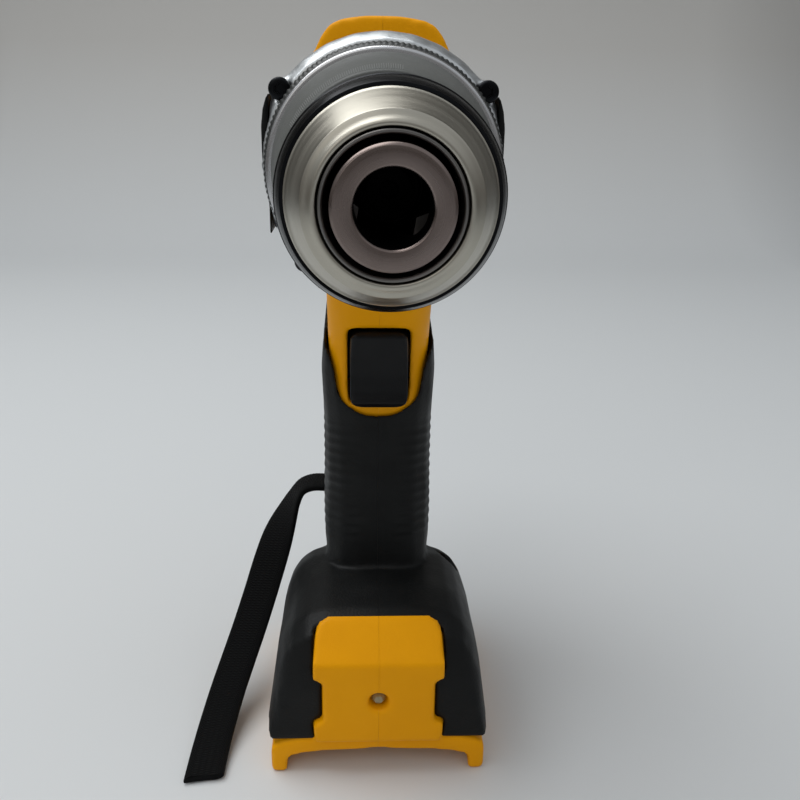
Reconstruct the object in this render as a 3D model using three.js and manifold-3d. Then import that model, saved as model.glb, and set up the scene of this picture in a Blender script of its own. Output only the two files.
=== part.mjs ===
// A cordless drill with a keyless chuck, standing on its battery foot, without its battery.
// Millimetres, +Z up. The chuck axis runs along Y with the chuck's nose towards -Y.
// Inside the file, "depth" is the distance behind the nose face, and "rise" is the height above the chuck axis.
import * as THREE from "three";
import { mergeVertices } from "three/addons/utils/BufferGeometryUtils.js";
import Module from "manifold-3d";

const wasm = await Module();
wasm.setup();

// ---------------------------------------------------------------- driving dimensions

const axisHeight = 186; // chuck axis above the floor
const gap = 0.3; // clearance between touching pieces
const ROUND = 28; // sides of the large round pieces
const INNER_ROUND = 18; // sides of those inside the tool
const SMALL_ROUND = 14; // sides of the small ones
const TINY_ROUND = 10; // sides of screws and pins

// Chuck
const chuckLength = 41;
const chuckRadius = 21.4;
const jawOpening = 6.77; // radius of the bore that takes the bit
const noseRadius = 10.82;
const lipInnerRadius = 11.98;
const lipOuterRadius = 12.8;
const coneInnerRadius = 13.1;
const coneOuterRadius = 19.28;
const coneLength = 9.6;
const jawSlope = (18 * Math.PI) / 180;
const jawRadius = 3.6;
const jawLength = 20;
const jawTipDepth = 18.1;
const jawEdge = 6.31; // radius of the jaws' gripping edges with the chuck open
const firstJawAngle = (-39 * Math.PI) / 180;

// Gear case and the rings in front of it
const spindleRadius = 6;
const bearingSeatRadius = 7.8;
const bearingRadius = 12.9;
const caseNoseRadius = 16.2;
const torqueCollarLength = 17;
const torqueCollarFrontRadius = 22.2;
const torqueCollarRearRadius = 25.8;
const trimRingLength = 3.2;
const trimRingRadius = 26.83;
const modeRingLength = 8.2;
const modeRingRadius = 28.8;
const gearCaseLength = 20;
const gearCaseStep = 2; // the gear case is this much smaller in radius than the barrel behind it

// Planet gears: both stages share one ring gear
const ringTeeth = 42;
const sunTeeth = 12;
const ringPitchRadius = 22;
const gearWidth = 6.4;
const planetPinRadius = 2.2;

// Motor
const statorRadius = 25.5;
const statorBore = 14;
const statorLength = 26;
const rotorShaftRadius = 2.5;
const motorBearingRadius = 8;

// Housing
const barrelLength = 87;
const barrelRadius = 33;
const housingWall = 3;
const rearCapLength = 28;
const spineRise = 2.8; // of the spine above the round barrel
const spineHalfWidth = 10;
const seam = 0.15; // half of the gap between the two housing halves

// Handle
const coreHalfWidth = 15.7;
const gripHalfWidth = 17.8;
const skinThickness = 1.9;
const triggerHalfWidth = 8.8;
const triggerTop = -50.6;
const triggerBottom = -74.9;
const triggerTravel = 8;

// Foot
const neckHeight = 54;
const footHalfWidth = 35.4;
const footLength = 83;
const footBase = 12.5; // underside of the black foot, top of the rails
const railHalfWidth = 33.6;
const railWall = 5;
const channelHeight = 8.4; // at its middle
const lampHeight = 27.8;

// Wrist strap
const strapWidth = 12;
const strapThickness = 2.4;
const strapHeight = 68; // of the slot that it leaves the handle by

// ---------------------------------------------------------------- derived stations

const gearCaseRadius = barrelRadius - gearCaseStep;
const spineHeight = barrelRadius + spineRise;
const chuckRear = chuckLength;
const collarFront = chuckRear + 1.5;
const trimFront = collarFront + torqueCollarLength + 0.5;
const modeFront = trimFront + trimRingLength + 0.6;
const caseFront = modeFront + modeRingLength + 0.8;
const caseRear = caseFront + gearCaseLength;
const housingFront = caseRear + gap;
const housingRear = housingFront + barrelLength;
const overallLength = housingRear + gap + rearCapLength;
const handleDepth = housingFront + 45; // centre of the handle
const footFront = handleDepth - 61.7;
const footRear = footFront + footLength;
const blockFront = footFront - 2.4;
const strapDepth = handleDepth + 7.3;

// ---------------------------------------------------------------- geometry helpers

// A closed mesh as a solid for joining and cutting. A mesh that comes out inside out is turned round.
function solid(geometry) {
  const plain = geometry.clone();
  plain.deleteAttribute("normal");
  plain.deleteAttribute("uv");
  const merged = mergeVertices(plain, 1e-4);
  const vertProperties = Float32Array.from(merged.attributes.position.array);
  const triVerts = Uint32Array.from(merged.index.array);
  const made = new wasm.Manifold(new wasm.Mesh({ numProp: 3, vertProperties, triVerts }));
  if (made.volume() > 0) return made;
  const turned = triVerts.map((_, i) => triVerts[i - (i % 3) + [0, 2, 1][i % 3]]);
  return new wasm.Manifold(new wasm.Mesh({ numProp: 3, vertProperties, triVerts: turned }));
}

function geometryOf(made) {
  const { vertProperties, triVerts } = made.getMesh();
  const geometry = new THREE.BufferGeometry();
  geometry.setAttribute("position", new THREE.BufferAttribute(vertProperties, 3));
  geometry.setIndex(new THREE.BufferAttribute(triVerts, 1));
  geometry.computeVertexNormals();
  return geometry;
}

const joined = (...solids) => solids.reduce((whole, next) => whole.add(next));
const cut = (whole, ...tools) => tools.reduce((left, tool) => left.subtract(tool), whole);

// A solid turned about the chuck axis. The profile is a list of [radius, depth].
function turned(profile, sides = ROUND) {
  const points = profile.map(([radius, depth]) => new THREE.Vector2(radius, depth));
  const onAxis = profile[0][0] === 0 && profile.at(-1)[0] === 0;
  if (!onAxis) points.push(points[0].clone());
  return solid(new THREE.LatheGeometry(points, sides));
}

// A plain ring about the chuck axis.
const ring = (inner, outer, front, rear, sides = ROUND) =>
  turned([[inner, front], [outer, front], [outer, rear], [inner, rear]], sides);

// A plain round rod about the chuck axis.
const rod = (radius, front, rear, sides = ROUND) =>
  turned([[0, front], [radius, front], [radius, rear], [0, rear]], sides);

const box = (x0, x1, y0, y1, z0, z1) =>
  solid(new THREE.BoxGeometry(x1 - x0, y1 - y0, z1 - z0)).translate([
    (x0 + x1) / 2,
    (y0 + y1) / 2,
    (z0 + z1) / 2,
  ]);

// An outline seen from the front, as [x, z] points, swept straight back between two depths.
function sweptBack(outline, front, rear) {
  const shape = new THREE.Shape(outline.map(([x, z]) => new THREE.Vector2(x, z)));
  const geometry = new THREE.ExtrudeGeometry(shape, { depth: rear - front, bevelEnabled: false });
  geometry.rotateX(Math.PI / 2);
  return solid(geometry).translate([0, rear, 0]);
}

// An outline seen from the side, as [depth, z] points, swept across between two x values.
function sweptAcross(outline, left, right) {
  const shape = new THREE.Shape(outline.map(([y, z]) => new THREE.Vector2(y, z)));
  const geometry = new THREE.ExtrudeGeometry(shape, { depth: right - left, bevelEnabled: false });
  geometry.applyMatrix4(new THREE.Matrix4().set(0, 0, 1, left, 1, 0, 0, 0, 0, 1, 0, 0, 0, 0, 0, 1));
  return solid(geometry);
}

// A solid through rings of points, which all have the same number of points.
function loft(rings) {
  const count = rings[0].length;
  const positions = rings.flat(2);
  const index = [];
  rings.slice(1).forEach((_, r) => {
    for (let i = 0; i < count; i++) {
      const j = (i + 1) % count;
      const [a, b, c, d] = [r * count + i, r * count + j, (r + 1) * count + j, (r + 1) * count + i];
      index.push(a, b, c, a, c, d);
    }
  });
  const last = (rings.length - 1) * count;
  for (let i = 1; i < count - 1; i++) {
    index.push(0, i + 1, i);
    index.push(last, last + i, last + i + 1);
  }
  const geometry = new THREE.BufferGeometry();
  geometry.setAttribute("position", new THREE.Float32BufferAttribute(positions, 3));
  geometry.setIndex(index);
  return solid(geometry);
}

// The points of a rounded rectangle, from four corner arcs.
function roundedRectangle(left, right, low, high, radius, perCorner = 4) {
  const r = Math.min(radius, (right - left) / 2 - 0.01, (high - low) / 2 - 0.01);
  const corners = [[right - r, high - r], [left + r, high - r], [left + r, low + r], [right - r, low + r]];
  return corners.flatMap(([x, y], quarter) =>
    Array.from({ length: perCorner }, (_, i) => {
      const angle = ((quarter + i / (perCorner - 1)) * Math.PI) / 2;
      return [x + r * Math.cos(angle), y + r * Math.sin(angle)];
    }),
  );
}

// A cylinder of any direction, from one point to another.
function bar(from, to, radius, sides = TINY_ROUND) {
  const start = new THREE.Vector3(...from);
  const end = new THREE.Vector3(...to);
  const geometry = new THREE.CylinderGeometry(radius, radius, start.distanceTo(end), sides);
  const direction = end.clone().sub(start).normalize();
  const turn = new THREE.Quaternion().setFromUnitVectors(new THREE.Vector3(0, 1, 0), direction);
  geometry.applyQuaternion(turn);
  const middle = start.add(end).multiplyScalar(0.5);
  geometry.translate(middle.x, middle.y, middle.z);
  return solid(geometry);
}

const around = (count, make) => Array.from({ length: count }, (_, i) => make((i * 2 * Math.PI) / count, i));
const between = (low, high, share) => low + (high - low) * share;

// ---------------------------------------------------------------- scene graph and materials

const finishes = {
  nickel: { color: 0xc8c8c0, metalness: 1, roughness: 0.28 },
  steel: { color: 0x8a8580, metalness: 1, roughness: 0.35 },
  darkSteel: { color: 0x3c3a39, metalness: 0.9, roughness: 0.4 },
  aluminium: { color: 0xc4cacd, metalness: 0.9, roughness: 0.42 },
  copper: { color: 0xb0663a, metalness: 1, roughness: 0.4 },
  greyPlastic: { color: 0x4d4f4c, metalness: 0, roughness: 0.5 },
  blackPlastic: { color: 0x141416, metalness: 0, roughness: 0.45 },
  rubber: { color: 0x1a1b1c, metalness: 0, roughness: 0.75 },
  yellow: { color: 0xe39a12, metalness: 0, roughness: 0.42 },
  board: { color: 0x2c6b46, metalness: 0, roughness: 0.5 },
  brass: { color: 0xb9954a, metalness: 1, roughness: 0.35 },
  lens: { color: 0xdcd8c4, metalness: 0, roughness: 0.12 },
  webbing: { color: 0x0d0d0e, metalness: 0, roughness: 0.9 },
};

const drill = new THREE.Group();
const tool = new THREE.Group(); // origin on the floor, under the nose face
tool.position.y = -overallLength / 2;
drill.add(tool);
const axisLine = new THREE.Group(); // origin on the chuck axis, at the nose face
axisLine.position.z = axisHeight;
tool.add(axisLine);

function add(group, name, made, finish) {
  const mesh = new THREE.Mesh(geometryOf(made), new THREE.MeshStandardMaterial(finishes[finish]));
  mesh.name = name;
  group.add(mesh);
  return mesh;
}

// ---------------------------------------------------------------- chuck

// The jaws are rods on slopes that meet ahead of the nose. Every jaw is made pointing along +X.
const jawAxisRadius = jawEdge - 0.15; // of a jaw's centre line, at its tip with the chuck open
const jawAxisAt = (depth) => jawAxisRadius + (depth - jawTipDepth) * Math.tan(jawSlope);
const jawOutsideAt = (depth) => jawAxisAt(depth) + jawRadius / Math.cos(jawSlope);

function jawRod(radius, front, rear) {
  return bar([jawAxisAt(front), front, 0], [jawAxisAt(rear), rear, 0], radius, 16);
}

const jawRear = jawTipDepth + jawLength * Math.cos(jawSlope);
const spindleThreadFront = 30.6; // behind where the jaws' backs come inwards
const nutFront = 23.2;
const nutRear = 30.2;
const chuckFlangeRadius = chuckRadius - 3.8;

function chuckBody() {
  const body = turned([
    [jawOpening, 0.4],
    [jawOpening + 0.4, 0],
    [noseRadius - 0.5, 0],
    [noseRadius, 0.5],
    [noseRadius, nutFront - 1],
    [jawOutsideAt(nutRear) - 0.6, nutRear + 0.4],
    [chuckFlangeRadius, nutRear + 0.7],
    [chuckFlangeRadius, chuckRear - 1],
    [chuckFlangeRadius - 1, chuckRear],
    [spindleRadius + gap, chuckRear],
    [spindleRadius + gap, spindleThreadFront - gap],
    [jawOpening, spindleThreadFront - gap],
  ]);
  const slots = around(3, (angle) => {
    const slot = jawRod(jawRadius + gap, 1, jawRear + 2.5);
    return slot.rotate([0, (-(angle + firstJawAngle) * 180) / Math.PI, 0]);
  });
  return cut(body, ...slots);
}

function jaw() {
  const whole = jawRod(jawRadius, jawTipDepth - 4, jawRear);
  const reach = 30;
  const grip = sweptBack(
    [[jawEdge, 0], [jawEdge + reach, -reach * Math.sqrt(3)], [jawEdge + reach, reach * Math.sqrt(3)]],
    jawTipDepth,
    jawRear + 5,
  );
  return whole.intersect(grip);
}

add(axisLine, "chuck_body", chuckBody(), "steel");
around(3, (angle, i) => {
  const mesh = add(axisLine, `chuck_jaw_${i + 1}`, jaw(), "darkSteel");
  mesh.rotation.y = -(angle + firstJawAngle);
});

const sleeveInnerRadius = chuckRadius - 3;
add(
  axisLine,
  "chuck_nut",
  turned([
    [jawOutsideAt(nutFront) + gap + 0.1, nutFront],
    [sleeveInnerRadius - gap, nutFront],
    [sleeveInnerRadius - gap, nutRear],
    [jawOutsideAt(nutRear) + gap + 0.1, nutRear],
  ]),
  "darkSteel",
);

const chuckScrewFront = spindleThreadFront - 3.2 - gap; // of its head
add(
  axisLine,
  "chuck_screw",
  turned(
    [
      [0, chuckScrewFront + 1.9],
      [1.6, chuckScrewFront + 1.9],
      [1.9, chuckScrewFront],
      [4.4, chuckScrewFront],
      [4.4, spindleThreadFront - gap],
      [2.5, spindleThreadFront - gap],
      [2.5, spindleThreadFront + 12],
      [0, spindleThreadFront + 12],
    ],
    SMALL_ROUND,
  ),
  "darkSteel",
);

const coneFront = 1.9;
const coneRear = coneFront + coneLength;
const lipDepth = 1.7;
add(
  axisLine,
  "chuck_lip_ring",
  turned([
    [lipInnerRadius, lipDepth + 0.3],
    [lipInnerRadius + 0.3, lipDepth],
    [lipOuterRadius - 0.2, lipDepth],
    [lipOuterRadius, lipDepth + 0.2],
    [lipOuterRadius, lipDepth + 8],
    [lipInnerRadius, lipDepth + 8],
  ]),
  "darkSteel",
);
add(
  axisLine,
  "chuck_nose_cone",
  turned([
    [coneInnerRadius, coneFront + 0.4],
    [coneInnerRadius + 0.4, coneFront],
    [coneInnerRadius + 1, coneFront + 0.1],
    [coneInnerRadius + 1.7, coneFront + 0.9],
    [coneInnerRadius + 2.3, coneFront + 1.2],
    [coneOuterRadius - 0.4, coneRear - 0.7],
    [coneOuterRadius, coneRear],
    [coneOuterRadius - 1.6, coneRear],
    [coneInnerRadius, coneFront + 3.4],
  ]),
  "nickel",
);
add(
  axisLine,
  "chuck_sleeve",
  turned([
    [sleeveInnerRadius, coneRear + gap + 0.2],
    [coneOuterRadius + 0.7, coneRear + gap],
    [chuckRadius - 0.4, coneRear + 2.6],
    [chuckRadius, coneRear + 5.5],
    [chuckRadius, chuckRear - 3.4],
    [chuckRadius - 1.4, chuckRear - 1],
    [sleeveInnerRadius, chuckRear - 1],
  ]),
  "blackPlastic",
);

// ---------------------------------------------------------------- rings in front of the gear case

add(
  axisLine,
  "torque_collar",
  turned([
    [12, collarFront + 0.3],
    [torqueCollarFrontRadius - 0.7, collarFront],
    [torqueCollarFrontRadius, collarFront + 0.9],
    [torqueCollarRearRadius, trimFront - 1.2],
    [torqueCollarRearRadius, trimFront - 0.5],
    [caseNoseRadius + 0.8, trimFront - 0.5],
    [caseNoseRadius + 0.8, collarFront + 2.4],
    [12, collarFront + 2.4],
  ]),
  "greyPlastic",
);
add(
  axisLine,
  "trim_ring",
  turned([
    [caseNoseRadius + 0.8, trimFront],
    [trimRingRadius - 0.8, trimFront],
    [trimRingRadius, trimFront + 1],
    [trimRingRadius, trimFront + trimRingLength],
    [caseNoseRadius + 0.8, trimFront + trimRingLength],
  ]),
  "nickel",
);
add(
  axisLine,
  "mode_ring",
  turned([
    [caseNoseRadius + 0.8, modeFront],
    [modeRingRadius - 1.6, modeFront],
    [modeRingRadius, modeFront + 2],
    [modeRingRadius, modeFront + modeRingLength - 0.6],
    [modeRingRadius - 0.6, modeFront + modeRingLength],
    [caseNoseRadius + 0.8, modeFront + modeRingLength],
  ]),
  "greyPlastic",
);

// ---------------------------------------------------------------- gear case, spindle and bearings

const caseNoseFront = collarFront + 3;
const caseWebRear = caseFront + 3;
const caseSkirtRear = caseRear + 7.4;
const caseSkirtRadius = barrelRadius - housingWall - 2.8;
const caseCavityRadius = ringPitchRadius + 3.2;
const padTop = 16.5;
const padInner = gearCaseRadius - 3.4;
const upperLugAngle = (35.6 * Math.PI) / 180;
const lowerLugAngle = (50 * Math.PI) / 180;
const lugDistance = gearCaseRadius - 0.75;
const lugRadius = 2.7;
const lugSpots = [upperLugAngle, -lowerLugAngle].flatMap((angle) => [-1, 1].map((side) => (
  [side * lugDistance * Math.cos(angle), lugDistance * Math.sin(angle)]
)));

function gearCase() {
  const body = turned([
    [bearingRadius + gap, caseNoseFront],
    [caseNoseRadius - 0.6, caseNoseFront],
    [caseNoseRadius, caseNoseFront + 0.6],
    [caseNoseRadius, caseFront],
    [gearCaseRadius - 2, caseFront],
    [gearCaseRadius, caseFront + 3.4],
    [gearCaseRadius, caseRear],
    [caseSkirtRadius, caseRear + 0.01],
    [caseSkirtRadius, caseSkirtRear],
    [caseCavityRadius, caseSkirtRear],
    [caseCavityRadius, caseWebRear],
    [bearingRadius + gap, caseWebRear],
  ]);
  const lugs = lugSpots.map(([x, z]) => bar([x, caseFront + 2, z], [x, caseRear, z], lugRadius, 10));
  const holes = lugSpots.map(([x, z]) => bar([x, caseFront, z], [x, caseRear + 1, z], 1.5, 6));
  const headRoom = lugRadius + gap;
  const rooms = lugSpots.map(([x, z]) => bar([x, caseFront - 1, z], [x, caseFront + 2, z], headRoom, 10));
  const pockets = [-1, 1].map((side) => {
    const [near, far] = [padInner - gap, gearCaseRadius + 5].map((x) => x * side);
    const floor = caseFront + 1.2;
    return box(Math.min(near, far), Math.max(near, far), floor, caseRear + 1, -padTop - 1, padTop + gap);
  });
  return cut(joined(body, ...lugs), ...holes, ...rooms, ...pockets);
}
add(axisLine, "gear_case", gearCase(), "aluminium");

// Rubber pads on both sides of the gear case: they bulge at the top and run out thin below.
function bumper(side) {
  const outside = gearCaseRadius - 1.6;
  const thin = padInner + 0.4;
  const outline = [
    [padInner, -padTop],
    [thin, -padTop],
    [thin, -9.5],
    [outside - 0.8, -6.5],
    [outside - 0.2, -2],
    [outside, 3],
    [outside, 9],
    [outside - 0.5, 13],
    [outside - 1.4, padTop - 0.6],
    [padInner, padTop],
  ].map(([x, z]) => [x * side, z]);
  if (side < 0) outline.reverse();
  return sweptBack(outline, caseFront + 1.5, caseRear - 0.2);
}
add(axisLine, "side_bumper_right", bumper(-1), "rubber");
add(axisLine, "side_bumper_left", bumper(1), "rubber");

// The two upper screws. The lower lugs' screws are left out, to keep the number of nodes down.
lugSpots.slice(0, 2).forEach(([x, z], i) => {
  const head = bar([x, caseFront - 0.5, z], [x, caseFront + 1.7, z], lugRadius, 10);
  const shank = bar([x, caseFront + 1, z], [x, caseRear - 2, z], 1.1, 6);
  add(axisLine, `gear_case_screw_${i + 1}`, joined(head, shank), "darkSteel");
});

const carrierFlangeFront = caseWebRear + 1;
const secondStageFront = carrierFlangeFront + 3.4;
const firstCarrierFront = secondStageFront + gearWidth + 0.6;
const firstStageFront = firstCarrierFront + 3.4;
const firstStageRear = firstStageFront + gearWidth;

// Gears: module, pitch radii and the distance of the planets from the axis all follow the ring gear.
const gearModule = (2 * ringPitchRadius) / ringTeeth;
const planetTeeth = (ringTeeth - sunTeeth) / 2;
const sunPitchRadius = (gearModule * sunTeeth) / 2;
const planetPitchRadius = (gearModule * planetTeeth) / 2;
const planetDistance = sunPitchRadius + planetPitchRadius;
const planetBore = planetPinRadius + gap;
const carrierRadius = planetDistance + planetPinRadius + 2;

function toothed(teeth, pitchRadius, outward, phase) {
  const pitchAngle = (2 * Math.PI) / teeth;
  const tip = pitchRadius + outward * 0.8 * gearModule;
  const root = pitchRadius - outward * 1.15 * gearModule;
  return around(teeth, (angle) => [
    [root, -0.3],
    [tip, -0.11],
    [tip, 0.11],
    [root, 0.3],
  ].map(([radius, share]) => {
    const at = angle + phase + share * pitchAngle;
    return [radius * Math.cos(at), radius * Math.sin(at)];
  })).flat();
}

const spokes = around(3, (angle) => [planetDistance * Math.cos(angle), planetDistance * Math.sin(angle)]);
const planetPins = (front, rear) => spokes.map(([x, z]) => bar([x, front, z], [x, rear, z], planetPinRadius));

function spindle() {
  const shaft = turned([
    [0, spindleThreadFront + 13],
    [2.9, spindleThreadFront + 13],
    [2.9, spindleThreadFront],
    [spindleRadius, spindleThreadFront],
    [spindleRadius, caseNoseFront + 1.8],
    [bearingSeatRadius, caseNoseFront + 1.8],
    [bearingSeatRadius, carrierFlangeFront],
    [carrierRadius, carrierFlangeFront],
    [carrierRadius, carrierFlangeFront + 2.8],
    [0, carrierFlangeFront + 2.8],
  ], INNER_ROUND);
  return joined(shaft, ...planetPins(carrierFlangeFront + 2, secondStageFront + gearWidth));
}
add(axisLine, "spindle", spindle(), "steel");

const bearing = (inner, outer, front, rear) => ring(inner + gap, outer, front, rear, INNER_ROUND);
add(axisLine, "spindle_bearing_front",
  bearing(bearingSeatRadius, bearingRadius, caseNoseFront + 3, caseNoseFront + 10), "steel");
add(axisLine, "spindle_bearing_rear",
  bearing(bearingSeatRadius, bearingRadius, caseWebRear - 6.5, caseWebRear - 0.3), "steel");

// The hammer cams are two toothed discs that ride over each other in hammer mode.
function hammerCam(front, rear, toothFront) {
  const disc = ring(bearingSeatRadius + gap, bearingRadius - gap, front, rear, INNER_ROUND);
  const teeth = around(6, (angle) => {
    const middle = (bearingSeatRadius + bearingRadius) / 2;
    const [x, z] = [middle * Math.cos(angle), middle * Math.sin(angle)];
    return bar([x, toothFront, z], [x, toothFront + 1.2, z], 1.3, 4);
  });
  return joined(disc, ...teeth);
}
const camFront = caseNoseFront + 13;
add(axisLine, "hammer_cam_front", hammerCam(camFront, camFront + 3, camFront + 2.6), "darkSteel");
const rearCam = hammerCam(camFront + 5.4, camFront + 8.4, camFront + 4.6);
add(axisLine, "hammer_cam_rear", rearCam.rotate([0, 30, 0]), "darkSteel");

// ---------------------------------------------------------------- planetary gearbox

const ringGearRadius = caseCavityRadius - gap;
const ringOutline = around(24, (angle) => [ringGearRadius * Math.cos(angle), ringGearRadius * Math.sin(angle)]);
const ringTeethOutline = toothed(ringTeeth, ringPitchRadius, -1, Math.PI / ringTeeth);
const ringGear = cut(
  sweptBack(ringOutline, carrierFlangeFront + 3.2, firstStageRear + 0.6),
  sweptBack(ringTeethOutline, carrierFlangeFront, firstStageRear + 2),
);
add(axisLine, "ring_gear", ringGear, "steel");

const gearAt = (teeth, pitchRadius, front) =>
  sweptBack(toothed(teeth, pitchRadius, 1, 0), front, front + gearWidth);

function carrier() {
  const plate = rod(carrierRadius, firstCarrierFront, firstCarrierFront + 2.8, INNER_ROUND);
  const sun = gearAt(sunTeeth, sunPitchRadius, secondStageFront).add(
    rod(sunPitchRadius * 0.7, secondStageFront, firstCarrierFront + 1, 12),
  );
  return joined(plate, sun, ...planetPins(firstCarrierFront + 2, firstStageRear));
}
add(axisLine, "first_carrier", carrier(), "steel");

[["first", firstStageFront], ["second", secondStageFront]].forEach(([stage, front]) => {
  spokes.forEach(([x, z], i) => {
    const bore = rod(planetBore, front - 1, front + gearWidth + 1, TINY_ROUND);
    const gear = cut(gearAt(planetTeeth, planetPitchRadius, front), bore);
    const mesh = add(axisLine, `${stage}_planet_${i + 1}`, gear, "steel");
    mesh.position.set(x, 0, z);
  });
});

// ---------------------------------------------------------------- motor

const coverFront = caseSkirtRear + gap;
const coverRear = coverFront + 3;
const statorFront = coverRear + 7;
const statorRear = statorFront + statorLength;
const boardFront = statorRear + 8;
const fanFront = boardFront + 4;
const fanLength = 7;
const rearBearingFront = fanFront + fanLength + 2.6;
const rearBearingRear = rearBearingFront + 5;

const cover = turned([
  [motorBearingRadius + gap, coverFront],
  [caseSkirtRadius, coverFront],
  [caseSkirtRadius, coverRear],
  [motorBearingRadius + 2.4, coverRear],
  [motorBearingRadius + 2.4, coverRear + 2.6],
  [motorBearingRadius + gap, coverRear + 2.6],
], INNER_ROUND);
add(axisLine, "gear_case_cover", cover, "blackPlastic");

const rotorShaft = joined(
  rod(rotorShaftRadius, firstStageFront, rearBearingRear, 12),
  gearAt(sunTeeth, sunPitchRadius, firstStageFront),
);
add(axisLine, "rotor_shaft", rotorShaft, "steel");
add(axisLine, "motor_bearing_front",
  ring(rotorShaftRadius + gap, motorBearingRadius, coverFront, coverFront + 5, 16), "steel");
add(axisLine, "motor_bearing_rear",
  ring(rotorShaftRadius + gap, motorBearingRadius, rearBearingFront, rearBearingRear, 16), "steel");
add(axisLine, "rotor",
  ring(rotorShaftRadius + gap, statorBore - 0.8, statorFront, statorRear, INNER_ROUND), "darkSteel");

function stator() {
  const slotFloor = statorRadius - 4;
  const slots = around(6, (angle) => {
    const slotTop = statorBore + 2.4;
    const outline = [[0.33, slotTop], [0.33, slotFloor], [-0.33, slotFloor], [-0.33, slotTop]];
    const middle = angle + Math.PI / 6;
    const points = outline.map(([turn, radius]) => [
      radius * Math.cos(middle + turn),
      radius * Math.sin(middle + turn),
    ]);
    return sweptBack(points, statorFront - 1, statorRear + 1);
  });
  return cut(ring(statorBore, statorRadius, statorFront, statorRear, 24), ...slots);
}
add(axisLine, "motor_stator", stator(), "darkSteel");

// The end turns of the windings: a ring with six coil heads.
function winding(front, rear) {
  const base = ring(statorBore + 0.6, statorRadius - 3, front, rear, INNER_ROUND);
  const outward = front < statorFront ? -1 : 1;
  const heads = around(6, (angle) => {
    const radius = (statorBore + statorRadius) / 2;
    const at = (depth) => [radius * Math.cos(angle), depth, radius * Math.sin(angle)];
    const face = outward < 0 ? front : rear;
    return bar(at(face - outward), at(face + outward * 1.6), 3.6, 6);
  });
  return joined(base, ...heads);
}
add(axisLine, "winding_front", winding(statorFront - 3.4, statorFront - gap), "copper");
add(axisLine, "winding_rear", winding(statorRear + gap, statorRear + 3.4), "copper");
add(axisLine, "driver_board", ring(6, statorRadius - 1, boardFront, boardFront + 1.6, INNER_ROUND), "board");

function fan() {
  const fanRear = fanFront + fanLength;
  const plate = ring(rotorShaftRadius + gap, statorRadius - 3, fanRear - 1.4, fanRear, INNER_ROUND);
  const hub = ring(rotorShaftRadius + gap, 6, fanFront, fanRear, 12);
  const blades = around(9, (angle) =>
    box(5.4, statorRadius - 3.6, fanFront + 1, fanRear - 1, -0.6, 0.6)
      .rotate([0, (angle * 180) / Math.PI, 0]),
  );
  return joined(plate, hub, ...blades);
}
add(axisLine, "motor_fan", fan(), "blackPlastic");

// ---------------------------------------------------------------- housing outlines

// Everything from here on is measured from the floor. "grow" makes a shape larger all round.

const onAxis = (made) => made.translate([0, 0, axisHeight]);

function barrel(grow) {
  const r = barrelRadius + grow;
  return onAxis(turned([
    [0, housingFront - grow],
    [r - 2.2, housingFront - grow],
    [r - 1.2, housingFront + 5],
    [r - 0.4, housingFront + 0.25 * barrelLength],
    [r, housingFront + 0.6 * barrelLength],
    [r - 0.4, housingFront + 0.9 * barrelLength],
    [r - 1.4, housingRear + grow],
    [0, housingRear + grow],
  ]));
}

// The raised spine on top of the barrel.
function spine(grow) {
  const stations = [[0, -0.7], [0.12, 0], [0.45, 0.7], [0.75, 0.2], [0.93, -2.4], [1, -4.6]];
  return loft(stations.map(([share, lift]) => {
    const depth = between(housingFront, housingRear, share) + (share === 1 ? grow : 0);
    const top = axisHeight + spineHeight + lift + grow;
    const half = spineHalfWidth + grow;
    const foot = axisHeight + 20;
    return [
      [half + 8.6, foot],
      [half + 7.2, top - 8.4],
      [half + 5.4, top - 4.9],
      [half + 3.4, top - 2.4],
      [half + 0.6, top - 1.1],
      [half * 0.45, top - 0.25],
      [-half * 0.45, top - 0.25],
      [-half - 0.6, top - 1.1],
      [-half - 3.4, top - 2.4],
      [-half - 5.4, top - 4.9],
      [-half - 7.2, top - 8.4],
      [-half - 8.6, foot],
    ].map(([x, z]) => [x, depth, z]);
  }));
}

const freeGripTop = axisHeight + triggerBottom - 9.1; // where the free grip begins
const gripZ = (share) => between(neckHeight, freeGripTop, share);

// Rows of the handle: height, front and rear from the handle's centre, half-width, corner radius.
const coreRows = [
  [axisHeight - 18, -42, 33, coreHalfWidth, 7],
  [axisHeight - 32, -40, 30, coreHalfWidth, 7],
  [axisHeight - 42, -36, 26, coreHalfWidth, 7.5],
  [axisHeight - 52, -30.5, 22.5, coreHalfWidth, 8],
  [axisHeight - 60, -27.4, 21.6, coreHalfWidth - 0.1, 8],
  [axisHeight - 68, -26.2, 21.8, coreHalfWidth - 0.2, 8],
  [axisHeight - 76, -26, 22.6, coreHalfWidth - 0.4, 8],
];
const skinRows = [
  [axisHeight - 36, -34, 28, gripHalfWidth - 1.1, 9],
  [axisHeight - 50, -32.5, 24.6, gripHalfWidth - 0.8, 9],
  [axisHeight - 58, -29.2, 23.8, gripHalfWidth - 0.4, 9],
  [axisHeight - 66, -27.6, 24, gripHalfWidth + 0.2, 9],
  [axisHeight - 76, -27, 25, gripHalfWidth - 0.2, 9.5],
];
const gripRows = [
  [gripZ(1), -26, 25.6, gripHalfWidth - 0.3, 11],
  [gripZ(0.7), -25.8, 26, gripHalfWidth - 0.3, 12],
  [gripZ(0.35), -26.4, 25.4, gripHalfWidth, 12],
  [gripZ(0.12), -26.8, 24, gripHalfWidth - 0.2, 11],
  [gripZ(0), -27.2, 22.4, gripHalfWidth - 0.8, 10],
  [neckHeight - 8, -28, 21, gripHalfWidth - 0.7, 10],
  [neckHeight - 22, -29, 19, gripHalfWidth - 0.7, 10],
];

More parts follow.
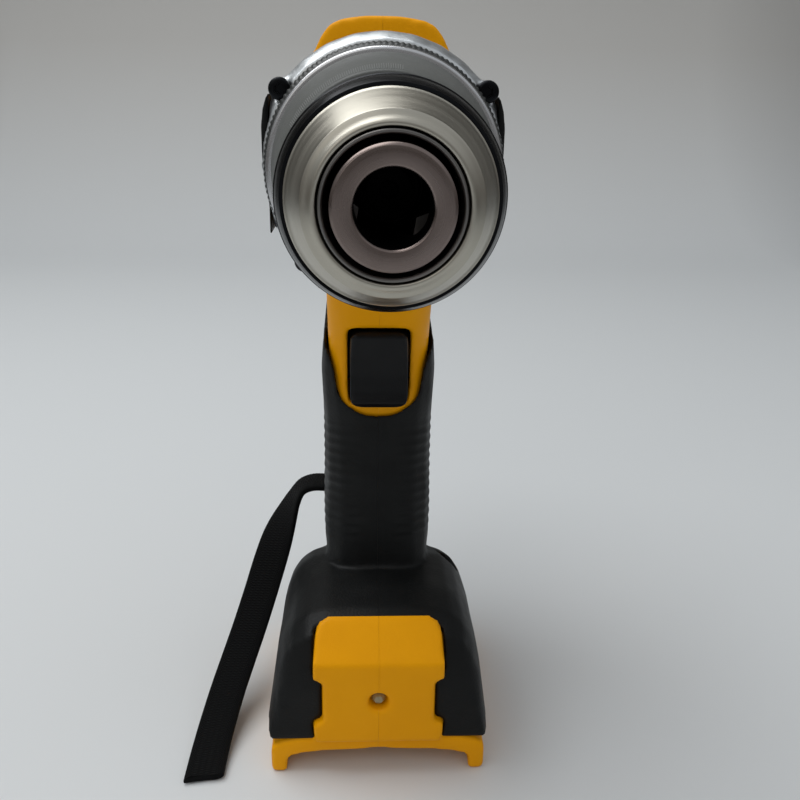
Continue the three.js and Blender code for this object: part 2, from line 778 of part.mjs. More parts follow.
function handle(rows, grow) {
  return loft(rows.map(([z, front, rear, half, radius]) => {
    const [low, high] = [handleDepth + front - grow, handleDepth + rear + grow];
    return roundedRectangle(-half - grow, half + grow, low, high, radius + grow).map(([x, y]) => [x, y, z]);
  }));
}
const inset = (rows, by) => rows.map(([z, front, rear, half, radius]) =>
  [z, front + by, rear - by, half - by, radius]);
const core = (grow) => handle([...coreRows, ...inset(gripRows, skinThickness)], grow);
const skin = (grow) => handle([...skinRows, ...gripRows], grow);

// The foot: sections from front to rear, as the distance behind its front, how much narrower than the widest
// it is at each side, and its height. The sides lean in, and broad shoulders round over to the neck.
const footRows = [
  [0, 2.2, 20],
  [1.5, 1.4, 28],
  [5, 0.8, 36],
  [12, 0.2, 39.5],
  [24, 0.2, 40.5],
  [34, 0.4, 40.5],
  [46, 0.4, 40.5],
  [55, 0.6, 38.5],
  [65, 1.6, 31.5],
  [75, 4.2, 22],
  [footLength, 9.4, 12],
];
const footCurve = 4.5; // 2 would make the sections elliptical, and more makes them boxy
const footLean = 0.14; // how much of its width a section loses from its base to its top
const footArc = 13; // points along a section's curved outline

function foot(grow, floor = footBase) {
  const stretch = (footLength + 2 * grow) / footLength;
  const rings = footRows.map(([row, narrower, height]) => {
    const depth = footFront - grow + row * stretch;
    const wide = footHalfWidth - narrower + grow;
    const tall = Math.max(height + grow, 2);
    const arc = Array.from({ length: footArc }, (_, step) => {
      const angle = (step * Math.PI) / (footArc - 1);
      const across = Math.sign(Math.cos(angle)) * Math.abs(Math.cos(angle)) ** (2 / footCurve);
      const up = Math.max(Math.sin(angle), 1e-9) ** (2 / footCurve);
      return [wide * across * (1 - footLean * up), depth, footBase + tall * up];
    });
    const base = floor < footBase ? [[-wide, depth, floor], [wide, depth, floor]] : [];
    return [...arc, ...base];
  });
  return loft(rings);
}

// The lamp block at the front of the foot, under a sloping hood, with clip recesses at its sides.
const blockTop = 51;
const blockRidge = 41.1;
const blockHalfWidth = 19.9;
const hoodLength = 9; // from the block's front back to where the hood is highest
const blockDepth = 10.6;
const blockBase = footBase + 0.4; // where the block's face stops above the rails' arch
const notch = { low: 19.4, high: 35.6, halfWidth: 17.2 };

function block(grow) {
  const side = [
    [footFront + 0.6, channelHeight],
    [footFront + 0.6, blockBase],
    [blockFront - grow, blockBase],
    [blockFront - grow, blockRidge + grow * 0.4],
    [blockFront + hoodLength - grow * 0.4, blockTop + grow],
    [blockFront + blockDepth, blockTop + 1 + grow],
    [blockFront + blockDepth, channelHeight],
  ];
  const wide = blockHalfWidth + grow;
  const half = [
    [wide - 1, channelHeight],
    [wide, notch.low - 3],
    [wide, notch.low],
    [notch.halfWidth + grow, notch.low + 1],
    [notch.halfWidth + grow, notch.high - 0.8],
    [wide, notch.high],
    [wide - 0.1, blockRidge],
    [wide - 0.7, blockTop - 3.2 + grow],
    [wide - 1.9, blockTop - 0.8 + grow],
    [wide - 4, blockTop + 0.7 + grow],
    [wide - 7, blockTop + 2 + grow],
  ];
  const front = [...half.map(([x, z]) => [-x, z]), ...half.toReversed()].reverse();
  return sweptAcross(side, -30, 30).intersect(sweptBack(front, blockFront - 2, blockFront + blockDepth + 2));
}

// The battery rails: an arch at the front that runs back as a channel.
function rails(grow, rear) {
  const legInner = railHalfWidth - railWall;
  const half = [
    [0, footBase + 0.4],
    [railHalfWidth - 8, footBase],
    [railHalfWidth - 3, footBase - 1.2],
    [railHalfWidth - 0.6, footBase - 2.8],
    [railHalfWidth, footBase - 4.6],
    [railHalfWidth, 1],
    [railHalfWidth - 1, 0],
    [legInner + 0.6, 0],
    [legInner, 0.6],
    [legInner, channelHeight - 4],
    [legInner - 1.6, channelHeight - 2.4],
    [legInner - 7, channelHeight - 1.2],
    [0, channelHeight],
  ];
  const left = half.map(([x, z]) => [-x, z]).reverse();
  const outline = [...half.slice(0, -1), ...left.slice(0, -1)].reverse();
  return sweptBack(outline, footFront - grow, rear);
}

// Ledges inside the rails carry the battery.
function ledges(rear) {
  const legInner = railHalfWidth - railWall;
  return [-1, 1].map((side) => {
    const [near, far] = [(legInner - 2.2) * side, (legInner + 1) * side];
    return box(Math.min(near, far), Math.max(near, far), footFront + 12, rear, 0, 2.4);
  });
}

// ---------------------------------------------------------------- housing halves

const cavityRadius = barrelRadius - housingWall - 1.6;
const railRear = footRear - 5;
const lampSink = 2.6; // of the lamp's lens behind the block's face
const spineScrewDrop = 6.4; // of the upper screws below the top of the spine
const screwSpots = [
  [housingFront + 16, axisHeight + spineHeight - spineScrewDrop],
  [housingFront + 68, axisHeight + spineHeight - spineScrewDrop],
  [handleDepth + 13, axisHeight - 58],
  [handleDepth - 12, neckHeight - 8],
];
const screwHeadRadius = 3.1;
const leverHeight = axisHeight - 39.4;
const leverDepth = handleDepth - 6;
const selector = { front: housingFront + 30, length: 26, halfWidth: 6.4 };

function shell() {
  const outside = joined(
    barrel(0),
    spine(0),
    core(0),
    foot(-skinThickness - gap),
    block(0),
    rails(0, railRear),
    ...ledges(railRear),
  );
  const bay = onAxis(joined(
    rod(cavityRadius, housingFront - 1, rearBearingFront - 1.4),
    rod(cavityRadius, rearBearingRear + 1.4, housingRear + 1),
    rod(motorBearingRadius + gap, rearBearingFront, rearBearingRear + 2, 16),
    rod(motorBearingRadius - 2, rearBearingFront - 2, rearBearingFront + 1, 16),
  ));
  const handleRoom = handle(inset([
    [axisHeight - 22, -24, 26, coreHalfWidth, 6],
    ...coreRows.slice(2),
    ...inset(gripRows, skinThickness),
  ], housingWall), 0);
  const footRoom = foot(-skinThickness - gap - housingWall);
  const footRoomAbove = box(-60, 60, footFront + 4, footRear + 9, footBase + housingWall, 200);
  return cut(outside, bay, handleRoom, footRoom.intersect(footRoomAbove));
}

// The window in front of the trigger, and the grip skin's U-shaped opening round it.
function triggerWindow() {
  const [half, top, bottom] = [triggerHalfWidth + 0.6, triggerTop + 0.9, triggerBottom - 0.8];
  const points = roundedRectangle(-half, half, axisHeight + bottom, axisHeight + top, 1.6, 3);
  return sweptBack(points, handleDepth - 60, handleDepth - 12);
}

function skinWindow() {
  const half = [
    [24, 6], [16.4, -57.6], [15.2, -59.8], [14.4, -62.5], [13.6, -65.4], [13.1, -69.6],
    [12.3, -72.7], [10.4, -75.2], [6.2, -78.2], [3.2, -79.3], [0, -79.6],
  ];
  const right = half.map(([x, rise]) => [x, axisHeight + rise]);
  const left = right.slice(0, -1).map(([x, z]) => [-x, z]).reverse();
  return sweptBack([...right, ...left].reverse(), handleDepth - 60, handleDepth - 13);
}

// The skin's upper edge rises towards the back of the handle.
function skinTop() {
  const edge = [
    [handleDepth - 60, axisHeight - 57],
    [handleDepth - 16, axisHeight - 55],
    [handleDepth + 6, axisHeight - 50],
    [handleDepth + 60, axisHeight - 37],
    [handleDepth + 60, axisHeight],
    [handleDepth - 60, axisHeight],
  ];
  return sweptAcross(edge, -40, 40);
}

const screwHoles = () => screwSpots.map(([y, z]) => bar([-40, y, z], [40, y, z], 1.7, 8));
const headRooms = () => screwSpots.map(([y, z]) =>
  bar([screwHeadSeat(z), y, z], [60, y, z], screwHeadRadius + gap, 12));

// Each screw head sits in a counterbore whose floor is this far from the seam.
function screwHeadSeat(z) {
  return z > axisHeight ? spineHalfWidth - 1 : coreHalfWidth - 3.6;
}

const selectorRecess = box(
  -selector.halfWidth - gap,
  selector.halfWidth + gap,
  selector.front - gap,
  selector.front + selector.length + gap,
  axisHeight + spineHeight - 2.6,
  axisHeight + spineHeight + 10,
);
const leverHole = sweptAcross(
  roundedRectangle(leverDepth - 5.3, leverDepth + 5.3, leverHeight - 3.5, leverHeight + 3.5, 2, 3),
  -60,
  60,
);
const lampHole = onLamp(turned([
  [0, -1],
  [3.9, -1],
  [3.6, 0],
  [2.6, lampSink - 0.6],
  [2.6, lampSink + 8],
  [0, lampSink + 8],
], SMALL_ROUND));

function onLamp(made) {
  return made.translate([0, blockFront, lampHeight]);
}

// The wrist strap comes out of a level slot in the right side of the handle.
const strapSlot = box(
  -30, -7, strapDepth - strapWidth / 2 - 1, strapDepth + strapWidth / 2 + 1,
  strapHeight - strapThickness / 2 - 1, strapHeight + strapThickness / 2 + 1,
);

// Cooling slots in both sides of the barrel's rear end.
const vents = (front, count) => Array.from({ length: count }, (_, i) => {
  const z = axisHeight - 11 + i * 6.6;
  return box(-60, 60, front, front + 12, z - 1.3, z + 1.3);
});

const bossRadius = 4;
const bosses = screwSpots
  .filter(([, z]) => z < axisHeight)
  .map(([y, z]) => bar([-coreHalfWidth + 2, y, z], [coreHalfWidth - 2, y, z], bossRadius));

const wholeShell = cut(
  joined(shell(), ...bosses),
  triggerWindow(),
  leverHole,
  selectorRecess,
  lampHole,
  strapSlot,
  ...vents(housingRear - 17, 4),
  ...screwHoles(),
  ...headRooms(),
);
const leftSide = box(seam, 90, -20, 400, -10, 400);
const rightSide = box(-90, -seam, -20, 400, -10, 400);
add(tool, "housing_left", largest(wholeShell.intersect(leftSide)), "yellow");
add(tool, "housing_right", largest(wholeShell.intersect(rightSide)), "yellow");

// The biggest of a solid's separate bodies, which drops slivers that a cut leaves.
function largest(made) {
  return made.decompose().sort((a, b) => b.volume() - a.volume())[0];
}

// ---------------------------------------------------------------- grip and foot skin

const underHousing = joined(
  barrel(gap),
  core(gap),
  foot(-skinThickness, footBase - 3),
  block(gap),
  rails(1, footRear + 2),
  box(-60, 60, footFront - 20, footRear + 20, -5, footBase + 0.02),
);
const wholeSkin = cut(
  joined(skin(0), foot(0)),
  underHousing,
  skinWindow(),
  skinTop(),
  leverHole,
  strapSlot,
  ...headRooms(),
);
add(tool, "grip_left", largest(wholeSkin.intersect(leftSide)), "rubber");
add(tool, "grip_right", largest(wholeSkin.intersect(rightSide)), "rubber");

// ---------------------------------------------------------------- rear cap

const capFront = housingRear + gap;
add(tool, "rear_cap", cut(onAxis(rearCapSolid()), ...vents(capFront + 6, 4)), "blackPlastic");

function rearCapSolid() {
  const r = barrelRadius - 1.4;
  const dome = (by) => [
    [0, capFront - (by > 0 ? 1 : 0)],
    [r - by, capFront - (by > 0 ? 1 : 0)],
    [r - by, capFront + rearCapLength * 0.35],
    [r - 2 - by, capFront + rearCapLength * 0.62],
    [r - 6.4 - by, capFront + rearCapLength * 0.85 - by * 0.4],
    [r - 13 - by, capFront + rearCapLength - by],
    [0, capFront + rearCapLength - by],
  ];
  return cut(turned(dome(0)), turned(dome(housingWall)));
}

// ---------------------------------------------------------------- controls

function trigger() {
  const front = handleDepth - 33.4;
  const back = handleDepth - 14;
  const side = [
    [back, triggerTop],
    [front + 1.2, triggerTop],
    [front, triggerTop - 1.4],
    [front + 1.6, triggerTop - 8],
    [front + 2.4, triggerTop - 14],
    [front + 2, triggerTop - 20],
    [front + 0.8, triggerBottom + 2],
    [front + 2.6, triggerBottom],
    [back, triggerBottom],
  ].map(([y, rise]) => [y, axisHeight + rise]);
  const plan = roundedRectangle(-triggerHalfWidth, triggerHalfWidth, front - 0.5, back + 6, 3.2, 4);
  const geometry = new THREE.ExtrudeGeometry(
    new THREE.Shape(plan.map(([x, y]) => new THREE.Vector2(x, y))),
    { depth: 60, bevelEnabled: false },
  );
  const column = solid(geometry).translate([0, 0, axisHeight + triggerBottom - 20]);
  const face = roundedRectangle(
    -triggerHalfWidth, triggerHalfWidth, axisHeight + triggerBottom, axisHeight + triggerTop, 3.4, 4);
  const stem = box(-3, 3, back - 1, back + 5, axisHeight + triggerBottom + 8, axisHeight + triggerTop - 8);
  const shaped = sweptAcross(side, -30, 30).intersect(column).intersect(sweptBack(face, front - 5, back + 5));
  return joined(shaped, stem);
}
add(tool, "trigger", trigger(), "blackPlastic");

const switchFront = handleDepth - 14 + triggerTravel + gap + 0.7;
const switchRear = handleDepth + 13;
const switchBody = cut(
  box(-10.8, 10.8, switchFront, switchRear, axisHeight + triggerBottom + 1, axisHeight + triggerTop - 1),
  box(-3.6, 3.6, switchFront - 1, switchFront + 7, axisHeight + triggerBottom + 7, axisHeight + triggerTop - 7),
  bar([-40, screwSpots[2][0], screwSpots[2][1]], [40, screwSpots[2][0], screwSpots[2][1]], bossRadius + gap),
);
add(tool, "switch_body", largest(switchBody), "blackPlastic");

// The direction lever goes right through the handle and slides across.
const lever = sweptAcross(
  roundedRectangle(leverDepth - 5, leverDepth + 5, leverHeight - 3.2, leverHeight + 3.2, 1.8, 3),
  -coreHalfWidth - 3.4,
  coreHalfWidth + 3.4,
);
add(tool, "direction_lever", lever, "blackPlastic");

function speedSelector() {
  const floor = axisHeight + spineHeight - 2.3;
  const { front, halfWidth } = selector;
  const low = box(-halfWidth, halfWidth, front, front + 15, floor, floor + 2);
  const ribs = [3, 6, 9, 12].map((at) =>
    box(-halfWidth + 1, halfWidth - 1, front + at - 0.7, front + at + 0.7, floor + 1.5, floor + 3));
  return joined(low, ...ribs);
}
add(tool, "speed_selector", speedSelector(), "blackPlastic");

// ---------------------------------------------------------------- foot fittings

const lens = onLamp(turned([
  [0, lampSink - 1.6],
  [1.3, lampSink - 1.2],
  [2.1, lampSink - 0.2],
  [2.3, lampSink + 1],
  [2.3, lampSink + 6],
  [0, lampSink + 6],
], SMALL_ROUND));
add(tool, "lamp_lens", lens, "lens");

const moduleLow = footBase + housingWall + gap;
const module = { front: footFront + 16, rear: footRear - 32, halfWidth: 24, low: moduleLow, height: 17 };
add(tool, "control_module",
  box(-module.halfWidth, module.halfWidth, module.front, module.rear, module.low, module.low + module.height),
  "blackPlastic");

const terminal = { front: footFront + 44, rear: footFront + 70, halfWidth: 17, low: 2.6 };
terminal.high = channelHeight - 2.4;
add(tool, "terminal_block",
  box(-terminal.halfWidth, terminal.halfWidth, terminal.front, terminal.rear, terminal.low, terminal.high),
  "blackPlastic");
[-1, 1].forEach((side, i) => {
  const x = side * 10;
  add(tool, `terminal_blade_${i + 1}`,
    box(x - 0.5, x + 0.5, terminal.front - 14, terminal.front - gap, terminal.low + 0.4, terminal.high - 0.3),
    "brass");
});

// Housing screws, with their heads in the left half.
screwSpots.forEach(([y, z], i) => {
  const seat = screwHeadSeat(z);
  const head = bar([seat + gap, y, z], [seat + gap + 2.4, y, z], screwHeadRadius, 12);
  const shank = bar([-seat + 1, y, z], [seat + 1, y, z], 1.4, 8);
  add(tool, `housing_screw_${i + 1}`, joined(head, shank), "darkSteel");
});

// ---------------------------------------------------------------- wrist strap

add(tool, "strap_pin",
  bar([-5, strapDepth - 7, strapHeight], [-5, strapDepth + 7, strapHeight], 1.5, TINY_ROUND), "steel");

// The middle line of the strap, as [x, y, z] from the tool's origin on the floor.
const strapRoute = [
  [-7, 145.5, 68],
  [-12, 145.5, 68],
  [-17.8, 145.5, 68.1],
  [-22.8, 145.4, 68.1],
  [-26.8, 144.8, 66.6],
  [-29.6, 143.4, 63],
  [-32, 141.2, 58.4],
  [-35, 137.6, 51.4],
  [-38, 132.8, 42.8],
  [-41.1, 127, 33.6],
  [-44.4, 120, 24.6],
  [-47.6, 112, 17],
  [-50.4, 103, 10.7],
  [-52.4, 93, 5.9],
  [-53.6, 83, 2.8],
  [-54, 72.8, 1.6],
];

function strap() {
  const curve = new THREE.CatmullRomCurve3(strapRoute.map((point) => new THREE.Vector3(...point)));
  const steps = 40;
  const rings = Array.from({ length: steps + 1 }, (_, i) => {
    const share = i / steps;
    const middle = curve.getPointAt(share);
    const along = curve.getTangentAt(share);
    const wide = strapWidthDirection(share, along);
    const thick = new THREE.Vector3().crossVectors(along, wide).normalize();
    return [[-1, -1], [1, -1], [1, 1], [-1, 1]].map(([a, b]) => {
      const point = middle.clone();
      point.addScaledVector(wide, (a * strapWidth) / 2);
      point.addScaledVector(thick, (b * strapThickness) / 2);
      return point.toArray();
    });
  });
  return loft(rings);
}

// The webbing leaves the slot lying flat across, and twists as it falls until it faces forwards.
function strapWidthDirection(share, along) {
  const leaving = new THREE.Vector3(0, -1, 0);
  const falling = new THREE.Vector3(0.985, -0.17, 0);
  const twist = THREE.MathUtils.smoothstep(share, 0.1, 0.42);
  const wide = leaving.lerp(falling, twist);
  return wide.addScaledVector(along, -wide.dot(along)).normalize();
}
add(tool, "wrist_strap", strap(), "webbing");

export default drill;
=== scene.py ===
# %% [markdown]
# A cordless drill with a keyless chuck, standing on the foot that takes its battery. The working parts come
# packed, each one with its body and its joints. This notebook gives them their looks: turned metal at the
# chuck, moulded plastic and rubber on the housing, and a woven strap at the handle. Places are measured from
# the nose and the chuck axis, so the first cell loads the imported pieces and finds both.

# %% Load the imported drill
from math import atan2, ceil, cos, degrees, hypot, pi, radians, sin

import bmesh
import bpy
from mathutils import Matrix, Vector, kdtree


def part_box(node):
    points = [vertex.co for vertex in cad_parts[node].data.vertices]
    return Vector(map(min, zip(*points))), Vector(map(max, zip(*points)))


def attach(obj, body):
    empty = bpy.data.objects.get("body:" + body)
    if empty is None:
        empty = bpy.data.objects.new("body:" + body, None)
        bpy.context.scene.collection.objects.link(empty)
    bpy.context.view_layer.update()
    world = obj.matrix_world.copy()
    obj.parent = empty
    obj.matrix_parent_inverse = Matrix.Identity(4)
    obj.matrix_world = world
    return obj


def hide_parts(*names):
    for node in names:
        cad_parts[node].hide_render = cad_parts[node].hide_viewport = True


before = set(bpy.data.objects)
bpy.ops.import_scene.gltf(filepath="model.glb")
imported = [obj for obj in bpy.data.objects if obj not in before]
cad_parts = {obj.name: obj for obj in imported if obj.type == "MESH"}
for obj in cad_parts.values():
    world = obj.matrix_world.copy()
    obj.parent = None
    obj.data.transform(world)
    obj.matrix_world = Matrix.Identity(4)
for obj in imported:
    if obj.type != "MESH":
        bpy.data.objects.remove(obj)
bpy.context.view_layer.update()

MM = 0.001
nose_low, nose_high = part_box("chuck_body")
AXIS = (nose_low.z + nose_high.z) / 2  # height of the chuck axis
NOSE = nose_low.y  # where the flat nose of the chuck stands
print("chuck axis", round(AXIS / MM, 1), "mm up, nose at y", round(NOSE / MM, 1))


def on_tool(across, depth, height):
    """A point given in mm: across the tool, behind the nose, and above the floor."""
    return Vector((across * MM, NOSE + depth * MM, height * MM))


# %% [markdown]
# The camera looks at the nose from a little above the chuck, close to the tool, so the chuck is large and the
# foot is small. A view like this is set by where the camera stands, where it points, and how it leans. The
# three directions are worked out as a photographer would say them: turned a little to the right, tipped down,
# and leaning a little over.

# %% Camera
camera_data = bpy.data.cameras.new("camera")
camera_data.lens = 40.2
camera_data.sensor_width = 36
camera = bpy.data.objects.new("camera", camera_data)
bpy.context.scene.collection.objects.link(camera)
bpy.context.scene.camera = camera

TURN, TIP, LEAN = radians(2.64), radians(19.89), radians(-0.93)
STAND = Vector((-0.00536, -0.25388, 0.20666))
forward = Vector((sin(TURN) * cos(TIP), cos(TURN) * cos(TIP), -sin(TIP)))
level = Vector((cos(TURN), -sin(TURN), 0))
down = forward.cross(level)
right = level * cos(LEAN) + down * sin(LEAN)
up = level * sin(LEAN) - down * cos(LEAN)
camera.matrix_world = Matrix.Translation(STAND) @ Matrix((right, up, -forward)).transposed().to_4x4()
print("camera", round(camera_data.lens, 1), "mm, tipped down", round(degrees(TIP), 1), "degrees")

# %% [markdown]
# Every finish is a node material that reads Object coordinates. The pieces all keep their origin at the same
# place, so a grain given in metres has one scale over the whole tool. A small helper adds a node and sets its
# values, and a few more make what nearly every finish needs: a fine grain, a patchy stain and a bump.

# %% Helpers for the finishes
def new_finish(name, colour, roughness, metallic=0.0, specular=0.5):
    """A material with its main shader, ready to be given its detail."""
    finish = bpy.data.materials.new(name)
    finish.use_nodes = True
    shader = finish.node_tree.nodes["Principled BSDF"]
    shader.inputs["Base Color"].default_value = (*colour, 1)
    shader.inputs["Roughness"].default_value = roughness
    shader.inputs["Metallic"].default_value = metallic
    shader.inputs["Specular IOR Level"].default_value = specular
    return finish


def add_node(finish, kind, settings=None, **values):
    """A node of that kind. Settings are its own choices, and values go to its sockets or link to others."""
    made = finish.node_tree.nodes.new(kind)
    for key, value in (settings or {}).items():
        setattr(made, key, value)
    for key, value in values.items():
        socket = made.inputs[int(key[1:]) if key[1:].isdigit() else key.replace("_", " ")]
        if isinstance(value, bpy.types.NodeSocket):
            finish.node_tree.links.new(value, socket)
        else:
            socket.default_value = value
    return made


def place(finish):
    return add_node(finish, "ShaderNodeTexCoord").outputs["Object"]


def around_axis(finish):
    """Coordinates that follow a turned piece: the radius, the depth, and the angle in turns."""
    split = add_node(finish, "ShaderNodeSeparateXYZ", Vector=place(finish)).outputs
    rise = add_node(finish, "ShaderNodeMath", {"operation": "SUBTRACT"}, i0=split["Z"], i1=AXIS).outputs[0]
    angle = add_node(finish, "ShaderNodeMath", {"operation": "ARCTAN2"}, i0=rise, i1=split["X"]).outputs[0]
    flat = add_node(finish, "ShaderNodeCombineXYZ", X=split["X"], Y=rise).outputs[0]
    radius = add_node(finish, "ShaderNodeVectorMath", {"operation": "LENGTH"}, i0=flat).outputs["Value"]
    return radius, split["Y"], angle


def grain(finish, scale, detail=3.0, vector=None):
    """Noise at a scale in waves to a metre, on Object coordinates unless it is given others."""
    source = place(finish) if vector is None else vector
    made = add_node(finish, "ShaderNodeTexNoise", Vector=source, Scale=scale, Detail=detail, Roughness=0.55)
    return made.outputs["Fac"]


def ramp(finish, fac, low, high, start=0.3, end=0.7):
    """A value or a colour that runs from low to high as the pattern goes from start to end."""
    made = add_node(finish, "ShaderNodeValToRGB", Fac=fac)
    stops = made.color_ramp.elements
    stops[0].position, stops[1].position = start, end
    for stop, value in zip(stops, (low, high)):
        stop.color = (*value, 1) if hasattr(value, "__len__") else (value, value, value, 1)
    return made.outputs["Color"]


def bump(finish, height, distance, after=None):
    """A bump of that many metres, laid over another one if it is given."""
    made = add_node(finish, "ShaderNodeBump", Height=height, Distance=distance, Strength=1.0)
    if after is not None:
        finish.node_tree.links.new(after, made.inputs["Normal"])
    return made.outputs["Normal"]


def feed(finish, **sockets):
    """Links outputs to the main shader's sockets."""
    shader = finish.node_tree.nodes["Principled BSDF"]
    for key, output in sockets.items():
        finish.node_tree.links.new(output, shader.inputs[key.replace("_", " ")])
    return finish


# %% [markdown]
# Moulded plastic and rubber take the texture of their mould: a fine, even pebble, with dull and shinier
# patches where hands have polished it. The yellow is a pigmented nylon, the black a satin nylon, and the grip
# a softer rubber with a coarser pebble. The collar is grey nylon, with ribbed ticks in a paler grey: a painted
# highlight where light catches the ribs.

# %% Moulded finishes
SHINE_SPREAD = 0.08  # how far the roughness of a moulding drifts either way


def moulded_finish(name, colour, stained, roughness, pebble, depth, shine=0.4):
    """Pebbled plastic: the colour drifts to the stained one, and the shine is uneven."""
    finish = new_finish(name, colour, roughness, specular=shine)
    patches = grain(finish, 38, 4)
    tint = ramp(finish, patches, colour, stained, 0.35, 0.7)
    dull = ramp(finish, grain(finish, 90, 3), roughness - SHINE_SPREAD, roughness + SHINE_SPREAD, 0.3, 0.7)
    cells = add_node(finish, "ShaderNodeTexVoronoi", Vector=place(finish), Scale=pebble).outputs["Distance"]
    surface = bump(finish, cells, depth)
    surface = bump(finish, grain(finish, pebble * 2.3, 2), depth * 0.6, after=surface)
    return feed(finish, Base_Color=tint, Roughness=dull, Normal=surface)


yellow = moulded_finish("yellow_nylon", (0.95, 0.40, 0.0), (0.90, 0.37, 0.0), 0.44, 1900, 0.00003, shine=0.12)
black = moulded_finish(
    "black_nylon", (0.0045, 0.0048, 0.0055), (0.003, 0.0032, 0.004), 0.40, 1900, 0.00003, shine=0.2)
rubber = moulded_finish(
    "grip_rubber", (0.0055, 0.006, 0.006), (0.003, 0.0034, 0.0034), 0.50, 1400, 0.00005, shine=0.2)
grey = moulded_finish(
    "grey_nylon", (0.12, 0.124, 0.118), (0.095, 0.098, 0.093), 0.45, 2100, 0.00003, shine=0.3)
# Painted highlight: the collar's ticks get a paler grey that stands in for light catching the ribs.
tick_painted_highlight = moulded_finish("pale_ticks", (0.20, 0.205, 0.20), (0.15, 0.155, 0.15), 0.45, 2100, 0.00002)
charcoal = moulded_finish(
    "charcoal_nylon", (0.030, 0.032, 0.031), (0.02, 0.022, 0.021), 0.38, 2100, 0.00003, shine=0.5)
print("moulded finishes:", [m.name for m in (yellow, black, rubber, grey, tick_painted_highlight, charcoal)])

# %% [markdown]
# Turned metal shows the path of the lathe tool: fine rings round the axis, which spread a highlight into an
# arc. The rings are noise stretched along the cut, so the pattern reads the radius and the depth and nearly
# ignores the angle. Cast metal has no such rings, only the soft grain of the mould.

# %% Metal finishes
RING_FOLLOW = 0.00015  # how little of the angle the rings read, in metres to a radian


def turned_finish(name, colour, second, roughness, ring_depth=0.000004, ring_scale=2600):
    """Metal from the lathe, with fine rings round the chuck axis."""
    finish = new_finish(name, colour, roughness, metallic=1.0)
    radius, depth, angle = around_axis(finish)
    slow = add_node(finish, "ShaderNodeMath", {"operation": "MULTIPLY"}, i0=angle, i1=RING_FOLLOW).outputs[0]
    along = add_node(finish, "ShaderNodeCombineXYZ", X=radius, Y=depth, Z=slow).outputs[0]
    rings = grain(finish, ring_scale, 3, along)
    tint = ramp(finish, grain(finish, 60, 3), colour, second, 0.35, 0.7)
    shine = ramp(finish, grain(finish, 700, 3, along), roughness - 0.05, roughness + 0.07)
    return feed(finish, Base_Color=tint, Roughness=shine, Normal=bump(finish, rings, ring_depth))


nickel = turned_finish("satin_nickel", (0.455, 0.43, 0.37), (0.41, 0.385, 0.33), 0.34, 0.000003)
steel = turned_finish("turned_steel", (0.23, 0.185, 0.17), (0.19, 0.15, 0.135), 0.27)
dark_steel = turned_finish("machined_dark_steel", (0.20, 0.19, 0.18), (0.14, 0.135, 0.13), 0.33)
bright_steel = turned_finish("ground_steel", (0.62, 0.62, 0.63), (0.55, 0.55, 0.56), 0.25)
oxide = turned_finish("blued_steel", (0.016, 0.017, 0.019), (0.010, 0.010, 0.011), 0.26, 0.000006, 1500)
# Painted shade: a near-black turned finish for the inside of the chuck, standing in for the shade deep in the
# bore.
painted_shade_black = turned_finish("oiled_bore", (0.012, 0.011, 0.011), (0.006, 0.006, 0.006), 0.55)


def cast_finish(name, colour, second, roughness):
    """Cast or drawn metal, with only a soft grain."""
    finish = new_finish(name, colour, roughness, metallic=1.0)
    tint = ramp(finish, grain(finish, 45, 5), colour, second, 0.35, 0.7)
    shine = ramp(finish, grain(finish, 260, 4), roughness - 0.06, roughness + 0.08)
    surface = bump(finish, grain(finish, 900, 4), 0.00005)
    return feed(finish, Base_Color=tint, Roughness=shine, Normal=surface)


aluminium = cast_finish("cast_aluminium", (0.66, 0.68, 0.69), (0.58, 0.60, 0.61), 0.38)
brass = cast_finish("brass", (0.78, 0.58, 0.24), (0.66, 0.46, 0.18), 0.30)
copper = cast_finish("enamelled_copper", (0.70, 0.27, 0.10), (0.55, 0.19, 0.07), 0.34)
laminations = cast_finish("steel_laminations", (0.32, 0.31, 0.31), (0.24, 0.23, 0.23), 0.42)
print("metal finishes:", [m.name for m in (nickel, steel, dark_steel, bright_steel, oxide, aluminium)])

# %% [markdown]
# The small parts need finishes of their own. The wrist strap is woven nylon: its colour and its bump come
# from a weave on its own UV map, which runs along the strap, so the threads turn with it. The circuit board
# is green lacquer, and the lens of the work lamp is moulded plastic with a warm, cloudy tint.

# %% Strap, board and lens finishes
def times(finish, first, second):
    """The product of two values."""
    return add_node(finish, "ShaderNodeMath", {"operation": "MULTIPLY"}, i0=first, i1=second).outputs[0]


def weave_finish(name, colour, second, threads_along, threads_across):
    """Woven nylon: two sine waves cross on the piece's own UV map."""
    finish = new_finish(name, colour, 0.8, specular=0.12)
    uv = add_node(finish, "ShaderNodeTexCoord").outputs["UV"]
    split = add_node(finish, "ShaderNodeSeparateXYZ", Vector=uv).outputs
    waves = []
    for axis, count in (("X", threads_along), ("Y", threads_across)):
        turn = times(finish, split[axis], count * 2 * pi)
        waves.append(add_node(finish, "ShaderNodeMath", {"operation": "SINE"}, i0=turn).outputs[0])
    crossed = times(finish, *waves)
    fuzz = grain(finish, 2600, 3)
    tint = ramp(finish, crossed, second, colour, 0.2, 0.8)
    surface = bump(finish, crossed, 0.00012)
    surface = bump(finish, fuzz, 0.00006, after=surface)
    feed(finish, Base_Color=tint, Normal=surface)
    finish.node_tree.nodes["Principled BSDF"].inputs["Sheen Weight"].default_value = 0.02
    return finish


def board_finish():
    """Green lacquer in two shades, over a pattern of squares."""
    finish = new_finish("green_board", (0.02, 0.16, 0.06), 0.35)
    squares = add_node(finish, "ShaderNodeTexVoronoi", {"distance": "CHEBYCHEV"},
                       Vector=place(finish), Scale=420).outputs["Distance"]
    tint = ramp(finish, squares, (0.03, 0.22, 0.09), (0.012, 0.10, 0.04), 0.3, 0.5)
    return feed(finish, Base_Color=tint, Normal=bump(finish, squares, 0.00004))


